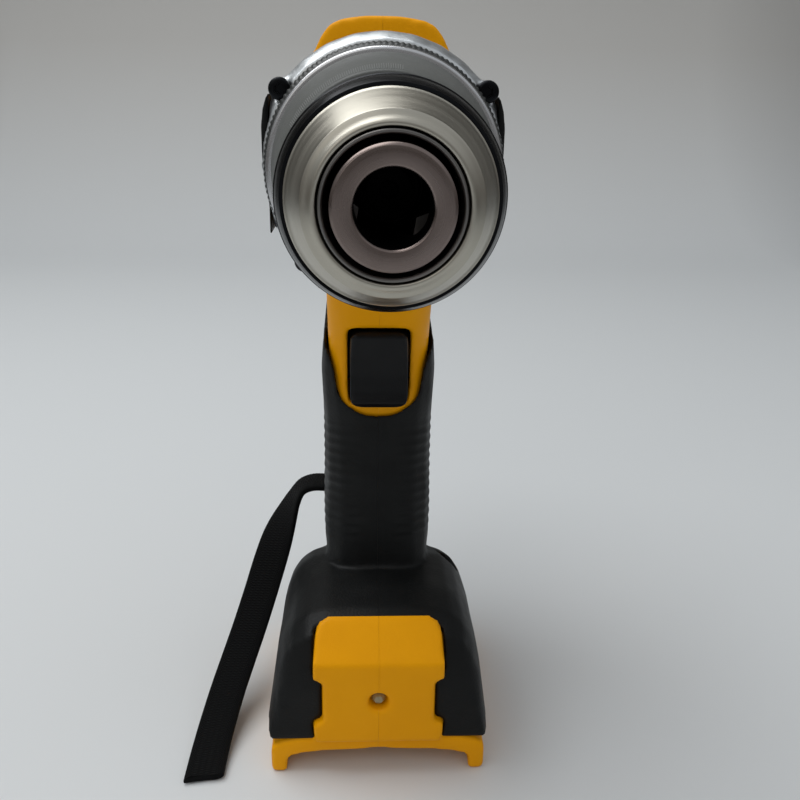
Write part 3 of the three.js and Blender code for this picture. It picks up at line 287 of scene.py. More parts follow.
def lens_finish():
    """Cloudy, glossy plastic that lets some light through."""
    finish = new_finish("clear_lamp_lens", (0.42, 0.34, 0.16), 0.15)
    clouds = ramp(finish, grain(finish, 500, 3), (0.46, 0.38, 0.20), (0.30, 0.22, 0.08), 0.35, 0.7)
    shader = finish.node_tree.nodes["Principled BSDF"]
    shader.inputs["Coat Weight"].default_value = 0.8
    shader.inputs["Transmission Weight"].default_value = 0.35
    return feed(finish, Base_Color=clouds, Normal=bump(finish, grain(finish, 900, 2), 0.00002))


webbing = weave_finish("black_webbing", (0.0055, 0.006, 0.0062), (0.002, 0.002, 0.0022), 140, 26)
board = board_finish()
lens = lens_finish()
print("small finishes:", [m.name for m in (webbing, board, lens)])

# %% [markdown]
# The wrist strap is one flat length of 12 mm webbing. It leaves a slot low on the handle, then falls and
# twists until its face looks forwards, and its cut end rests on the floor. It is a grid rolled round the
# route: one way of the grid runs along the strap, and the other goes round its section, which is flat with
# two round edges. Ribs across it are the heavy threads of the weave.

# %% The strap's route
STRAP_ROUTE = [on_tool(*point) for point in (
    (-7, 145.5, 68), (-12, 145.5, 68), (-17.8, 145.5, 68.1), (-22.8, 145.4, 68.1), (-26.8, 144.8, 66.6),
    (-29.6, 143.4, 63), (-32, 141.2, 58.4), (-35, 137.6, 51.4), (-38, 132.8, 42.8), (-41.1, 127, 33.6),
    (-44.4, 120, 24.6), (-47.6, 112, 17), (-50.4, 103, 10.7), (-52.4, 93, 5.9), (-53.6, 83, 2.8),
    (-54, 72.8, 1.6),
)]
STRAP_WIDTH = 12 * MM
STRAP_THICKNESS = 2.4 * MM
STRAP_STEPS = 280
CURVE_STEPS = 24  # between two points of the route


def smooth_line(points, steps):
    """Evenly spaced points on a smooth curve through the given ones."""
    ends = [2 * points[0] - points[1], *points, 2 * points[-1] - points[-2]]
    fine = []
    for a, b, c, d in zip(ends, ends[1:], ends[2:], ends[3:]):
        for i in range(CURVE_STEPS):
            t = i / CURVE_STEPS
            fine.append(0.5 * (2 * b + (c - a) * t + (2 * a - 5 * b + 4 * c - d) * t**2
                               + (3 * b - a - 3 * c + d) * t**3))
    fine.append(points[-1])
    run = [0.0]
    for a, b in zip(fine, fine[1:]):
        run.append(run[-1] + (b - a).length)
    even, at = [], 0
    for i in range(steps + 1):
        goal = run[-1] * i / steps
        while at < len(run) - 2 and run[at + 1] < goal:
            at += 1
        share = (goal - run[at]) / (run[at + 1] - run[at])
        even.append(fine[at].lerp(fine[at + 1], min(share, 1)))
    return even, run[-1]


strap_line, strap_length = smooth_line(STRAP_ROUTE, STRAP_STEPS)
print("strap", round(strap_length / MM, 1), "mm long")


# %% Model the strap
def smoothstep(value, start, end):
    share = min(max((value - start) / (end - start), 0), 1)
    return share * share * (3 - 2 * share)


SECTION_SIDES = 28
SHEET = 0.1  # the grid's size before it is rolled up
FLAT_WAY = Vector((0, -1, 0))  # the way of the strap's width where it leaves the slot
TURNED_WAY = Vector((0.985, -0.17, 0))  # and where it has turned to face forwards
TWIST = (0.1, 0.42)  # the share of the length over which it turns
RIB_SHARE = 0.05
END_SLANT = 1.5 * MM  # how far the cut end slants, either way from the middle


def rounded(value, power):
    """A sine or cosine pushed outwards, which squares up the section."""
    return abs(value) ** power * (1 if value > 0 else -1)


bpy.ops.object.select_all(action="DESELECT")
bpy.ops.mesh.primitive_grid_add(x_subdivisions=STRAP_STEPS, y_subdivisions=SECTION_SIDES, size=SHEET)
strap = bpy.context.object
strap.name = "wrist_strap_webbing"
for vertex in strap.data.vertices:
    step = round((vertex.co.x / SHEET + 0.5) * STRAP_STEPS)
    turn = (vertex.co.y / SHEET + 0.5) * 2 * pi
    share = step / STRAP_STEPS
    along = (strap_line[min(step + 1, STRAP_STEPS)] - strap_line[max(step - 1, 0)]).normalized()
    wide = FLAT_WAY.lerp(TURNED_WAY, smoothstep(share, *TWIST))
    wide = (wide - along * wide.dot(along)).normalized()
    thick = along.cross(wide)
    rib = 1 + RIB_SHARE * cos(step * pi)
    across = rounded(cos(turn), 0.35) * STRAP_WIDTH / 2
    proud = rounded(sin(turn), 0.45) * STRAP_THICKNESS / 2 * rib * 0.95
    slant = along * END_SLANT * cos(turn) * smoothstep(share, 0.97, 1.0)
    vertex.co = strap_line[step] + wide * across + thick * proud - slant

bpy.ops.object.mode_set(mode="EDIT")
bpy.ops.mesh.select_all(action="SELECT")
bpy.ops.mesh.remove_doubles(threshold=0.00002)
bpy.ops.mesh.select_all(action="DESELECT")
bpy.ops.mesh.select_non_manifold()
bpy.ops.mesh.edge_face_add()
bpy.ops.mesh.select_all(action="SELECT")
bpy.ops.mesh.normals_make_consistent(inside=False)
bpy.ops.object.mode_set(mode="OBJECT")
bpy.ops.object.shade_smooth_by_angle(angle=radians(40))
strap.data.materials.append(webbing)
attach(strap, "housing")
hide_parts("wrist_strap")
print("strap mesh", len(strap.data.polygons), "faces")

# %% [markdown]
# A moulded shell is hard to draw by hand, with its openings and bosses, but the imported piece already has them
# as flat facets. So a copy of it is remeshed into small even squares and then relaxed. Corners that the mould
# really has must stay crisp, so each vertex is relaxed by how far it lies from the nearest sharp edge: hardly
# at all on the edge itself, and fully a few millimetres away, where the facets melt into one smooth face.

# %% Helpers for modelling
def only(obj):
    """Selects one object and makes it the active one."""
    bpy.ops.object.select_all(action="DESELECT")
    obj.select_set(True)
    bpy.context.view_layer.objects.active = obj


def apply(obj, kind, **settings):
    """Adds a modifier, gives it its settings and applies it."""
    only(obj)
    modifier = obj.modifiers.new(kind.lower(), kind)
    for key, value in settings.items():
        setattr(modifier, key, value)
    bpy.ops.object.modifier_apply(modifier=modifier.name)
    return obj


def finished(obj, finish, body, slot, *nodes):
    """Gives a piece its finish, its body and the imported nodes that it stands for."""
    obj.data.materials.clear()
    obj.data.materials.append(finish)
    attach(obj, body)
    if nodes:
        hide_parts(*nodes)
    triangles = sum(len(face.vertices) - 2 for face in obj.data.polygons)
    print(f"{obj.name}: {triangles} triangles on {body}")
    return obj


# %% Relax a packed shell into a moulded one
SEAM_REACH = 0.4 * MM  # what lies this near the middle of the tool belongs to the seam
SHARP = radians(36)
POINT_SPACING = 0.4 * MM
RELAX_STEPS = 40
CRISP = 0.6  # mm from a sharp edge that stay crisp
EDGE_RELAX = 0.1  # the share of the relaxing that a sharp edge gets
LEVELS = 10  # steps between crisp and fully relaxed


def paired(shell):
    """Whether a shell is two joined halves, whose seam is no real edge."""
    return "pair" in shell.name


def sharp_points(mesh, angle, spacing):
    """Points along the edges where the surface turns by more than the angle."""
    points = []
    shape = bmesh.new()
    shape.from_mesh(mesh)
    for edge in shape.edges:
        if len(edge.link_faces) == 2 and edge.calc_face_angle(0) > angle:
            start, end = (v.co.copy() for v in edge.verts)
            count = max(1, ceil((end - start).length / spacing))
            points += [start.lerp(end, i / count) for i in range(count + 1)]
    shape.free()
    return points


def copy_of(node, name):
    """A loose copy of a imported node, with its shared corners merged."""
    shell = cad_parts[node].copy()
    shell.data = shell.data.copy()
    for key in list(shell.keys()):
        del shell[key]
    shell.parent = None
    shell.name = shell.data.name = name
    bpy.context.scene.collection.objects.link(shell)
    only(shell)
    bpy.ops.object.mode_set(mode="EDIT")
    bpy.ops.mesh.select_all(action="SELECT")
    bpy.ops.mesh.remove_doubles(threshold=0.000002)
    bpy.ops.object.mode_set(mode="OBJECT")
    return shell


def relaxed(shell, voxel, soft=3.2):
    """Melts the facets of a shell and keeps its corners. Distances are in mm."""
    found = sharp_points(shell.data, SHARP, POINT_SPACING)
    points = [p for p in found if abs(p.x) > SEAM_REACH or not paired(shell)]
    tree = kdtree.KDTree(len(points))
    for i, point in enumerate(points):
        tree.insert(point, i)
    tree.balance()
    apply(shell, "REMESH", mode="VOXEL", voxel_size=voxel * MM)
    levels = [[] for _ in range(LEVELS + 1)]
    for vertex in shell.data.vertices:
        away = tree.find(vertex.co)[2] / MM
        levels[round(LEVELS * smoothstep(away, CRISP, soft))].append(vertex.index)
    group = shell.vertex_groups.new(name="relaxed")
    for level, members in enumerate(levels):
        group.add(members, EDGE_RELAX + (1 - EDGE_RELAX) * level / LEVELS, "REPLACE")
    apply(shell, "SMOOTH", factor=0.5, iterations=RELAX_STEPS, vertex_group="relaxed")
    shell.vertex_groups.clear()
    return shell


def moulded(node, name, voxel, **settings):
    """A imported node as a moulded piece, with its facets melted."""
    shell = relaxed(copy_of(node, name), voxel, **settings)
    only(shell)
    bpy.ops.object.shade_smooth()
    return shell


# %% [markdown]
# The housing is two shells that meet in the middle of the tool, in pigmented nylon. A handle with a rubber
# skin is moulded twice: first the hard core, then the rubber over it, so the skin is a piece of its own. Two
# halves from one pair of moulds meet in a hairline, which a remesh of each half would open into a groove. So
# both halves are joined first, with their flat faces pushed a little into each other, then relaxed as one
# shell, and cut apart again down the middle.

# %% Join two halves, relax them and cut them apart
HAIRLINE = 0.02 * MM  # half of the gap that is left between the halves
SEAM_OVERLAP = 0.3 * MM  # how far each half is pushed past the middle before they are joined


def half_of(whole, name, side):
    """The part of a joined shell on one side of the middle, closed again where it was cut."""
    half = whole.copy()
    half.data = whole.data.copy()
    half.name = half.data.name = name
    bpy.context.scene.collection.objects.link(half)
    only(half)
    bpy.ops.object.mode_set(mode="EDIT")
    bpy.ops.mesh.select_all(action="SELECT")
    bpy.ops.mesh.bisect(plane_co=(side * HAIRLINE, 0, 0), plane_no=(side, 0, 0), use_fill=True,
                        clear_inner=True)
    bpy.ops.mesh.select_all(action="SELECT")
    bpy.ops.mesh.quads_convert_to_tris()
    bpy.ops.object.mode_set(mode="OBJECT")
    bpy.ops.object.shade_smooth_by_angle(angle=radians(50))
    return half


def moulded_pair(nodes, names, voxel, finish, slot, shape):
    """Two mouldings with an even seam. The shape function works on them while they are one."""
    halves = [copy_of(node, f"pair_{node}") for node in nodes]
    for half in halves:
        side = 1 if sum(v.co.x for v in half.data.vertices) > 0 else -1
        for vertex in half.data.vertices:
            if abs(vertex.co.x) < SEAM_REACH:
                vertex.co.x = -side * SEAM_OVERLAP
    only(halves[0])
    halves[1].select_set(True)
    bpy.ops.object.join()
    whole = relaxed(halves[0], voxel)
    shape(whole)
    for node, name in zip(nodes, names):
        low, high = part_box(node)
        side = 1 if low.x + high.x > 0 else -1
        finished(half_of(whole, name, side), finish, "housing", slot, node)
    bpy.data.objects.remove(whole)


# %% [markdown]
# The lamp looks out of a round recess in the yellow block, too small for the remesh to hold, so it is cut
# after it: a cone, wide at the face and narrow behind. The rubber skin gets low ribs where the palm and the
# fingers lie, which are raised along the surface by a wave in the height.

# %% Housing halves with the lamp's recess
lens_low, lens_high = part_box("lamp_lens")
LAMP = Vector(((lens_low.x + lens_high.x) / 2, 0, (lens_low.z + lens_high.z) / 2))
BLOCK_FACE = on_tool(0, 74.0, 0).y
RECESS = {"radius1": 3.45 * MM, "radius2": 2.5 * MM, "depth": 5 * MM}
RECESS_SET_BACK = 1.2 * MM  # from the block's face to the middle of the cone


def cut_lamp_recess(whole):
    """Cuts the round recess round the lamp."""
    bpy.ops.object.select_all(action="DESELECT")
    bpy.ops.mesh.primitive_cone_add(vertices=64, **RECESS)
    cutter = bpy.context.object
    stand = Vector((LAMP.x, BLOCK_FACE + RECESS_SET_BACK, LAMP.z))
    cutter.data.transform(Matrix.Translation(stand) @ Matrix.Rotation(-pi / 2, 4, "X"))
    apply(whole, "BOOLEAN", operation="DIFFERENCE", object=cutter, solver="MANIFOLD")
    bpy.data.objects.remove(cutter)


moulded_pair(["housing_left", "housing_right"], ["left_shell", "right_shell"], 0.82, yellow, "yellow_plastic",
             cut_lamp_recess)

# %% Rubber skin with its ribs
RIB_PITCH, RIB_HEIGHT = 3.4, 0.28  # mm
RIB_SLANT = 0.12  # mm that a rib falls for each mm it runs back


def raise_ribs(whole):
    """Raises the ribs along the surface, fading out above, below and at the seam."""
    normals = [Vector(vertex.normal) for vertex in whole.data.vertices]
    for vertex, normal in zip(whole.data.vertices, normals):
        across, depth, height = vertex.co.x / MM, (vertex.co.y - NOSE) / MM, vertex.co.z / MM
        inside = smoothstep(height, 60, 66) * (1 - smoothstep(height, 100, 105))
        inside *= smoothstep(abs(across), 4, 9)
        if inside > 0.01:
            wave = 0.5 + 0.5 * sin(2 * pi * (height + RIB_SLANT * depth) / RIB_PITCH)
            vertex.co += normal * RIB_HEIGHT * MM * (wave**1.5 - 0.4) * inside


moulded_pair(["grip_left", "grip_right"], ["left_skin", "right_skin"], 0.7, rubber, "rubber", raise_ribs)

# %% Rear cap, gear case and bumpers
SHELLS = [
    ("rear_cap", "motor_cap", 0.7, black, "black_plastic"),
    ("gear_case", "cast_gear_case", 0.6, aluminium, "aluminium"),
    ("side_bumper_left", "left_bumper", 0.4, rubber, "rubber"),
    ("side_bumper_right", "right_bumper", 0.4, rubber, "rubber"),
]
for node, name, voxel, finish, slot in SHELLS:
    finished(moulded(node, name, voxel), finish, "housing", slot, node)

# %% Trigger, lever and selector
finished(moulded("trigger", "trigger_cap", 0.4, soft=2.4), black, "trigger", "black_plastic", "trigger")
finished(moulded("direction_lever", "direction_slide", 0.3, soft=1.6), black, "direction_lever",
         "black_plastic", "direction_lever")
finished(moulded("speed_selector", "speed_slide", 0.3, soft=1.6), black, "speed_selector",
         "black_plastic", "speed_selector")

# %% [markdown]
# Everything at the nose is turned on a lathe, so it is made as a lathe makes it. The outline of one side is a
# loop of corners, and spinning the loop round the chuck axis gives the ring. A fine bevel on the corners
# catches the light as a real broken edge does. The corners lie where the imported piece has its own, so the
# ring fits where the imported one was, but it has many more sides.

# %% Turn a ring on the chuck axis
def turned(name, outline, sides=160, edge=0.18):
    """A ring from a closed outline of (radius, depth behind the nose), in mm."""
    bpy.ops.object.select_all(action="DESELECT")
    bpy.ops.mesh.primitive_circle_add(vertices=len(outline), radius=0.02)
    ring = bpy.context.object
    ring.name = ring.data.name = name
    for corner, (radius, depth) in zip(ring.data.vertices, outline):
        corner.co = (0, NOSE + depth * MM, AXIS + radius * MM)
    bpy.ops.object.mode_set(mode="EDIT")
    bpy.ops.mesh.select_all(action="SELECT")
    bpy.ops.mesh.spin(steps=sides, angle=2 * pi, center=(0, 0, AXIS), axis=(0, 1, 0), use_auto_merge=True)
    bpy.ops.mesh.select_all(action="SELECT")
    bpy.ops.mesh.remove_doubles(threshold=0.000004)
    bpy.ops.mesh.normals_make_consistent(inside=False)
    bpy.ops.object.mode_set(mode="OBJECT")
    if edge:
        apply(ring, "BEVEL", width=edge * MM, segments=2, limit_method="ANGLE", angle_limit=radians(28))
    only(ring)
    bpy.ops.object.shade_smooth_by_angle(angle=radians(35))
    return ring


def cut_away(piece, cutter):
    """Cuts one shape out of another and throws the cutter away."""
    apply(piece, "BOOLEAN", operation="DIFFERENCE", object=cutter, solver="EXACT")
    bpy.data.objects.remove(cutter)


# %% [markdown]
# The chuck body is the steel heart of the chuck. Three slanted channels in it guide the jaws, so they are cut
# with three rods on the jaws' own lines. The nose cone is a nickel-plated shell that turns with the sleeve.
# It has a rolled lip round its mouth, and a thin dark ring sits in the gap between that lip and the body.

# %% Chuck body, lip ring and nose cone
JAW_SLOPE = radians(18)
FIRST_JAW = radians(-39)
JAW_TIP = Vector((6.16, 18.1))  # a jaw's middle line at its tip: its radius and its depth, in mm
CHANNEL_RADIUS = 3.9
CHANNEL_LENGTH = 42
BORE_DEPTH, BORE_REACH = 0.45, 10.2  # what lies deeper than the first and within the second gets the near-black painted shade of the bore

body_ring = turned("chuck_core", [
    (6.77, 0.4), (7.17, 0), (10.32, 0), (10.82, 0.5), (10.82, 22.2), (14.2, 30.6), (17.6, 30.9), (17.6, 40),
    (16.6, 41), (6.3, 41), (6.3, 30.3), (6.77, 30.3)], edge=0.1)
for i in range(3):
    angle = FIRST_JAW + i * 2 * pi / 3
    outward = Vector((cos(angle), 0, sin(angle)))
    line = (outward * sin(JAW_SLOPE) + Vector((0, cos(JAW_SLOPE), 0))).normalized()
    tip = Vector((0, NOSE, AXIS)) + outward * JAW_TIP[0] * MM + Vector((0, JAW_TIP[1] * MM, 0))
    bpy.ops.object.select_all(action="DESELECT")
    bpy.ops.mesh.primitive_cylinder_add(vertices=48, radius=CHANNEL_RADIUS * MM, depth=CHANNEL_LENGTH * MM)
    channel = bpy.context.object
    turn = Vector((0, 0, 1)).rotation_difference(line).to_matrix().to_4x4()
    channel.data.transform(Matrix.Translation(tip + line * 2 * MM) @ turn)
    cut_away(body_ring, channel)
only(body_ring)
bpy.ops.object.shade_smooth_by_angle(angle=radians(35))
finished(body_ring, steel, "spindle", "steel_polished", "chuck_body")
# The faces inside the bore get the near-black painted shade.
body_ring.data.materials.append(painted_shade_black)
for face in body_ring.data.polygons:
    across, rise, depth = face.center.x / MM, (face.center.z - AXIS) / MM, (face.center.y - NOSE) / MM
    if depth > BORE_DEPTH and hypot(across, rise) < BORE_REACH:
        face.material_index = 1

lip_ring = turned("chuck_lip", [
    (11.98, 2.0), (12.28, 1.7), (12.6, 1.7), (12.8, 1.9), (12.8, 9.7), (11.98, 9.7)], edge=0.08)
finished(lip_ring, dark_steel, "chuck_sleeve", "dark_steel", "chuck_lip_ring")

cone = turned("plated_nose_cone", [
    (13.1, 2.3), (13.25, 2.0), (13.5, 1.9), (13.85, 1.9), (14.15, 2.05), (14.45, 2.4), (14.8, 2.75),
    (15.1, 2.97), (15.45, 3.12), (15.9, 3.4), (18.86, 10.7), (19.05, 11.1), (19.28, 11.3), (19.28, 11.5),
    (17.68, 11.5), (13.1, 5.3)], edge=0.08)
finished(cone, nickel, "chuck_sleeve", "nickel", "chuck_nose_cone")

# %% [markdown]
# The sleeve is what the hand turns, so it is knurled: a press rolls two sets of crossing grooves into it,
# which leaves rows of small diamonds. Its outline is spun with many sides and many rows, and every vertex is
# then lowered by where it lies between the grooves. The smooth bands at both ends are left as turned.

# %% Knurled sleeve
KNURLS = 96
KNURL_DEPTH = 0.32
KNURL_PITCH = 1.53  # mm along the axis
KNURL_BAND = (15.2, 36.6)
KNURL_ROWS = 56
SLEEVE_RADIUS = 21.35


def scaled_from_axis(vertex, share):
    """Moves a vertex towards the chuck axis, or away from it."""
    vertex.co.x *= share
    vertex.co.z = AXIS + (vertex.co.z - AXIS) * share


rows = [KNURL_BAND[0] + i * (KNURL_BAND[1] - KNURL_BAND[0]) / KNURL_ROWS for i in range(KNURL_ROWS + 1)]
sleeve = turned("knurled_sleeve", [
    (18.4, 12.0), (19.98, 11.8), (20.5, 12.8), (20.95, 14.0), (21.1, 14.9),
    *((SLEEVE_RADIUS, row) for row in rows), (21.2, 37.2), (20.0, 40), (18.4, 40)], sides=KNURLS * 4, edge=0)
for vertex in sleeve.data.vertices:
    across, rise = vertex.co.x / MM, (vertex.co.z - AXIS) / MM
    depth = (vertex.co.y - NOSE) / MM
    radius = hypot(across, rise)
    if radius > SLEEVE_RADIUS - 0.05 and KNURL_BAND[0] + 0.1 < depth < KNURL_BAND[1] - 0.1:
        turn = atan2(rise, across) * KNURLS
        slide = (depth - KNURL_BAND[0]) * 2 * pi / KNURL_PITCH
        diamond = abs(sin((turn + slide) / 2)) * abs(sin((turn - slide) / 2))
        scaled_from_axis(vertex, (radius - KNURL_DEPTH * (1 - diamond)) / radius)
finished(sleeve, oxide, "chuck_sleeve", "black_oxide", "chuck_sleeve")

# %% [markdown]
# Behind the chuck come the torque collar, a bright trim ring and the ring that picks the mode. The collar is
# grey nylon, with fine ribbed ticks along a part of its front edge, coloured paler as a painted highlight. The
# mode ring is ribbed so that a thumb can turn it: its ribs are made as the knurl was, by moving the spun sides
# along a wave.

# %% Torque collar with its ticks
collar = turned("torque_dial", [
    (12, 42.8), (21.3, 42.5), (21.9, 42.7), (22.2, 43.3), (25.8, 58.8), (25.8, 59.5), (17, 59.5), (17, 44.9),
    (12, 44.9)], edge=0.2)
finished(collar, grey, "torque_collar", "grey_plastic", "torque_collar")

TICKS = 58
TICK_SPAN = (radians(-62), radians(8))  # from the top of the collar, to the left and to the right
TICK_SIZE = (0.17, 4.2, 0.5)
TICK_DEPTH, TICK_RADIUS = 45.6, 22.58  # the middle of a tick
TICK_SLOPE = atan2(3.6, 15.5)  # the collar widens by the first over the second
bpy.ops.object.select_all(action="DESELECT")
bpy.ops.mesh.primitive_cube_add(size=1)
ticks = bpy.context.object
ticks.name = "torque_dial_ticks"
ticks.data.transform(Matrix.Diagonal((*(size * MM for size in TICK_SIZE), 1)))
apply(ticks, "BEVEL", width=0.05 * MM, segments=1)
tick_stand = Matrix.Translation((0, NOSE + TICK_DEPTH * MM, TICK_RADIUS * MM))
ticks.data.transform(tick_stand @ Matrix.Rotation(TICK_SLOPE, 4, "X"))
one = ticks.data.copy()
only(ticks)
pattern = bmesh.new()
for i in range(TICKS):
    step = one.copy()
    turn = TICK_SPAN[0] + (TICK_SPAN[1] - TICK_SPAN[0]) * i / (TICKS - 1)
    step.transform(Matrix.Translation((0, 0, AXIS)) @ Matrix.Rotation(turn, 4, "Y"))
    pattern.from_mesh(step)
    bpy.data.meshes.remove(step)
pattern.to_mesh(ticks.data)
pattern.free()
bpy.data.meshes.remove(one)
# The ticks take the paler grey of the painted highlight.
finished(ticks, tick_painted_highlight, "torque_collar", "grey_plastic")

# %% Trim ring and ribbed mode ring
trim = turned("bright_trim", [
    (17, 60), (26.5, 60), (26.95, 60.25), (27.2, 60.8), (27.2, 63.2), (17, 63.2)], edge=0.15)
finished(trim, bright_steel, "housing", "nickel", "trim_ring")

RIBS = 132
RIB_RISE = 0.34
RIBBED_FROM = 27.7  # the radius past which the ring is ribbed
mode = turned("ribbed_mode_ring", [
    (17, 63.8), (26.9, 63.8), (27.4, 64.2), (27.8, 65.0), (27.95, 65.8), (27.95, 71.0), (27.7, 71.7),
    (27.6, 72), (17, 72)], sides=RIBS * 5, edge=0)
for vertex in mode.data.vertices:
    across, rise = vertex.co.x / MM, (vertex.co.z - AXIS) / MM
    radius = hypot(across, rise)
    if radius > RIBBED_FROM:
        wave = 0.5 + 0.5 * cos(atan2(rise, across) * RIBS)
        scaled_from_axis(vertex, (radius + RIB_RISE * wave**0.6) / radius)
only(mode)
bpy.ops.object.shade_smooth_by_angle(angle=radians(40))
finished(mode, charcoal, "mode_ring", "grey_plastic", "mode_ring")

# %% [markdown]
# The gear case is held by four screws in lugs at its corners. Their heads are round, with a star-shaped
# socket. A head is a short cylinder with a domed edge, and the socket is cut into its face.

# %% Gear case screws
LUGS = [(-24.6, 17.6), (24.6, 17.6), (-19.45, -23.2), (19.45, -23.2)]  # across, and above the chuck axis
HEAD_DEPTH = 73.4
HEAD_RADIUS, HEAD_HEIGHT = 2.65, 2.2
SOCKET_RADIUS = 1.35
STAR_WAIST = 0.72  # the share of the radius at the star's inner corners
for i, (across, rise) in enumerate(LUGS):
    bpy.ops.object.select_all(action="DESELECT")
    bpy.ops.mesh.primitive_cylinder_add(vertices=36, radius=HEAD_RADIUS * MM, depth=HEAD_HEIGHT * MM)
    head = bpy.context.object
    head.name = f"case_screw_head_{i + 1}"
    apply(head, "BEVEL", width=0.7 * MM, segments=4, limit_method="ANGLE", angle_limit=radians(60))
    bpy.ops.mesh.primitive_cylinder_add(vertices=12, radius=SOCKET_RADIUS * MM, depth=2 * MM,
                                        location=(0, 0, HEAD_HEIGHT / 2 * MM))
    socket = bpy.context.object
    for vertex in socket.data.vertices:
        if vertex.index // 2 % 2:
            vertex.co.x *= STAR_WAIST
            vertex.co.y *= STAR_WAIST
    cut_away(head, socket)
    front = on_tool(across, HEAD_DEPTH, AXIS / MM + rise)
    head.data.transform(Matrix.Translation(front) @ Matrix.Rotation(pi / 2, 4, "X"))
    only(head)
    bpy.ops.object.shade_smooth_by_angle(angle=radians(40))
    nodes = [f"gear_case_screw_{i + 1}"] if i < 2 else []
    finished(head, oxide, "housing", "dark_steel", *nodes)

# %% [markdown]
# What sits inside keeps its imported shape and gets a finish of its own: ground steel for shafts and gears,
# stacked laminations for the motor, lacquered copper for its coils. Where two names fit a piece, the longer
# one counts.

# %% Finishes of the pieces inside
# The chuck's nut, screw and spindle sit deep in the bore and get its near-black painted shade.
FINISH_OF = {
    "chuck_jaw_": dark_steel, "chuck_nut": painted_shade_black, "chuck_screw": painted_shade_black, "hammer_cam": dark_steel,
    "housing_screw": dark_steel, "rotor_shaft": bright_steel,
    "rotor": laminations, "motor_stator": laminations, "winding_": copper, "driver_board": board,
    "control_module": board, "gear_case_cover": black, "motor_fan": black, "switch_body": black,
    "terminal_block": black, "terminal_blade": brass, "lamp_lens": lens, "spindle": painted_shade_black,
    "spindle_bearing": bright_steel, "ring_gear": bright_steel, "first_": bright_steel,
    "second_": bright_steel, "motor_bearing": bright_steel, "strap_pin": bright_steel,
}
shown = [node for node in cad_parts.values() if not node.hide_render]
for node in shown:
    match = max((key for key in FINISH_OF if node.name.startswith(key)), key=len, default=None)
    if match is None:
        print("no finish for", node.name)
        continue
    node.data.materials.clear()
    node.data.materials.append(FINISH_OF[match])
print(len(shown), "packed pieces keep their shape")

# %% [markdown]
# The stage is a pale sheet that runs level under the drill and curves up behind it, so no line shows where
# the floor ends. It gets darker far out at both sides. One large soft lamp hangs above and to the left, a
# weaker one fills from the front left, and the world is a dim room, bright overhead and dark below, which is
# what the plated cone reflects.

# %% Floor and backdrop
bpy.ops.object.select_all(action="DESELECT")
bpy.ops.mesh.primitive_plane_add(size=4, location=(0, -1.2, 0))
sheet = bpy.context.object
sheet.name = "backdrop"
bpy.ops.object.transform_apply(location=True, rotation=False, scale=False)
bpy.ops.object.mode_set(mode="EDIT")
bpy.ops.mesh.select_all(action="DESELECT")
bpy.ops.object.mode_set(mode="OBJECT")
for edge in sheet.data.edges:
    edge.select = all(sheet.data.vertices[v].co.y > 0 for v in edge.vertices)
bpy.ops.object.mode_set(mode="EDIT")
BEND_RADIUS = 0.35
BEND_STEPS = 12  # over a quarter turn
WALL_HEIGHT = 2.5
for i in range(BEND_STEPS):
    angle = (i + 0.5) * pi / 2 / BEND_STEPS
    step = BEND_RADIUS * pi / 2 / BEND_STEPS
    rise = (0, step * cos(angle), step * sin(angle))
    bpy.ops.mesh.extrude_edges_move(TRANSFORM_OT_translate={"value": rise})
bpy.ops.mesh.extrude_edges_move(TRANSFORM_OT_translate={"value": (0, 0, WALL_HEIGHT)})
bpy.ops.object.mode_set(mode="OBJECT")
bpy.ops.object.shade_smooth()
paper = new_finish("pale_paper", (0.70, 0.70, 0.70), 0.8, specular=0.1)
spot = add_node(paper, "ShaderNodeSeparateXYZ", Vector=place(paper)).outputs
aside = add_node(paper, "ShaderNodeMath", {"operation": "ABSOLUTE"}, i0=spot["X"]).outputs[0]
tone = ramp(paper, spot["Z"], (0.70, 0.715, 0.72), (0.60, 0.585, 0.56), 0.0, 0.25)
shade = ramp(paper, aside, 1.0, 0.4, 0.5, 1.0)
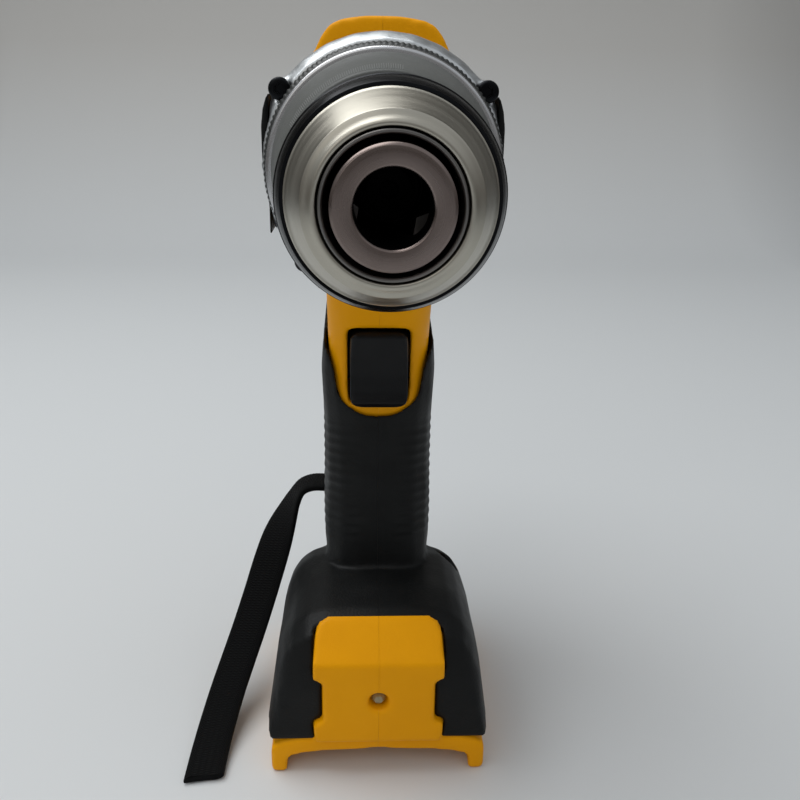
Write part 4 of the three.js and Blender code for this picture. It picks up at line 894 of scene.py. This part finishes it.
feed(paper, Base_Color=add_node(paper, "ShaderNodeMix", {"data_type": "RGBA", "blend_type": "MULTIPLY"},
                                i0=1.0, i6=tone, i7=shade).outputs[2])
sheet.data.materials.append(paper)

# %% Lamps and world
def soft_lamp(name, power, size, stand, aim, colour):
    """A square lamp that hangs at one point and looks at another."""
    lamp_data = bpy.data.lights.new(name, "AREA")
    lamp_data.energy, lamp_data.size, lamp_data.color = power, size, colour
    lamp = bpy.data.objects.new(name, lamp_data)
    bpy.context.scene.collection.objects.link(lamp)
    turned_to = (Vector(aim) - Vector(stand)).to_track_quat("-Z", "Y").to_matrix().to_4x4()
    lamp.matrix_world = Matrix.Translation(stand) @ turned_to


soft_lamp("sky_lamp", 6.4, 0.8, (-0.34, 0.12, 1.05), (0, -0.05, 0.1), (0.97, 0.99, 1))
soft_lamp("front_fill", 1.3, 0.9, (-0.5, -0.9, 0.9), (0, 0, 0.12), (1, 0.95, 0.88))


def room_world():
    """A dim room: pale and bright overhead, warmer and darker at eye level and below."""
    world = bpy.data.worlds.new("room")
    world.use_nodes = True
    tree = world.node_tree
    direction = tree.nodes.new("ShaderNodeTexCoord").outputs["Generated"]
    split = tree.nodes.new("ShaderNodeSeparateXYZ")
    tree.links.new(direction, split.inputs[0])
    sky = tree.nodes.new("ShaderNodeValToRGB")
    shift = tree.nodes.new("ShaderNodeMapRange")
    shift.inputs["From Min"].default_value = -1
    tree.links.new(split.outputs["Z"], shift.inputs["Value"])
    tree.links.new(shift.outputs[0], sky.inputs["Fac"])
    stops = sky.color_ramp.elements
    stops[0].position, stops[0].color = 0.46, (0.15, 0.13, 0.11, 1)
    stops[1].position, stops[1].color = 0.85, (0.92, 0.96, 1.0, 1)
    tree.links.new(sky.outputs["Color"], tree.nodes["Background"].inputs["Color"])
    tree.nodes["Background"].inputs["Strength"].default_value = 0.57
    return world


bpy.context.scene.world = room_world()
bpy.context.scene.view_settings.view_transform = "Standard"
bpy.context.scene.view_settings.look = "None"
bpy.context.scene.view_settings.exposure = 0.0
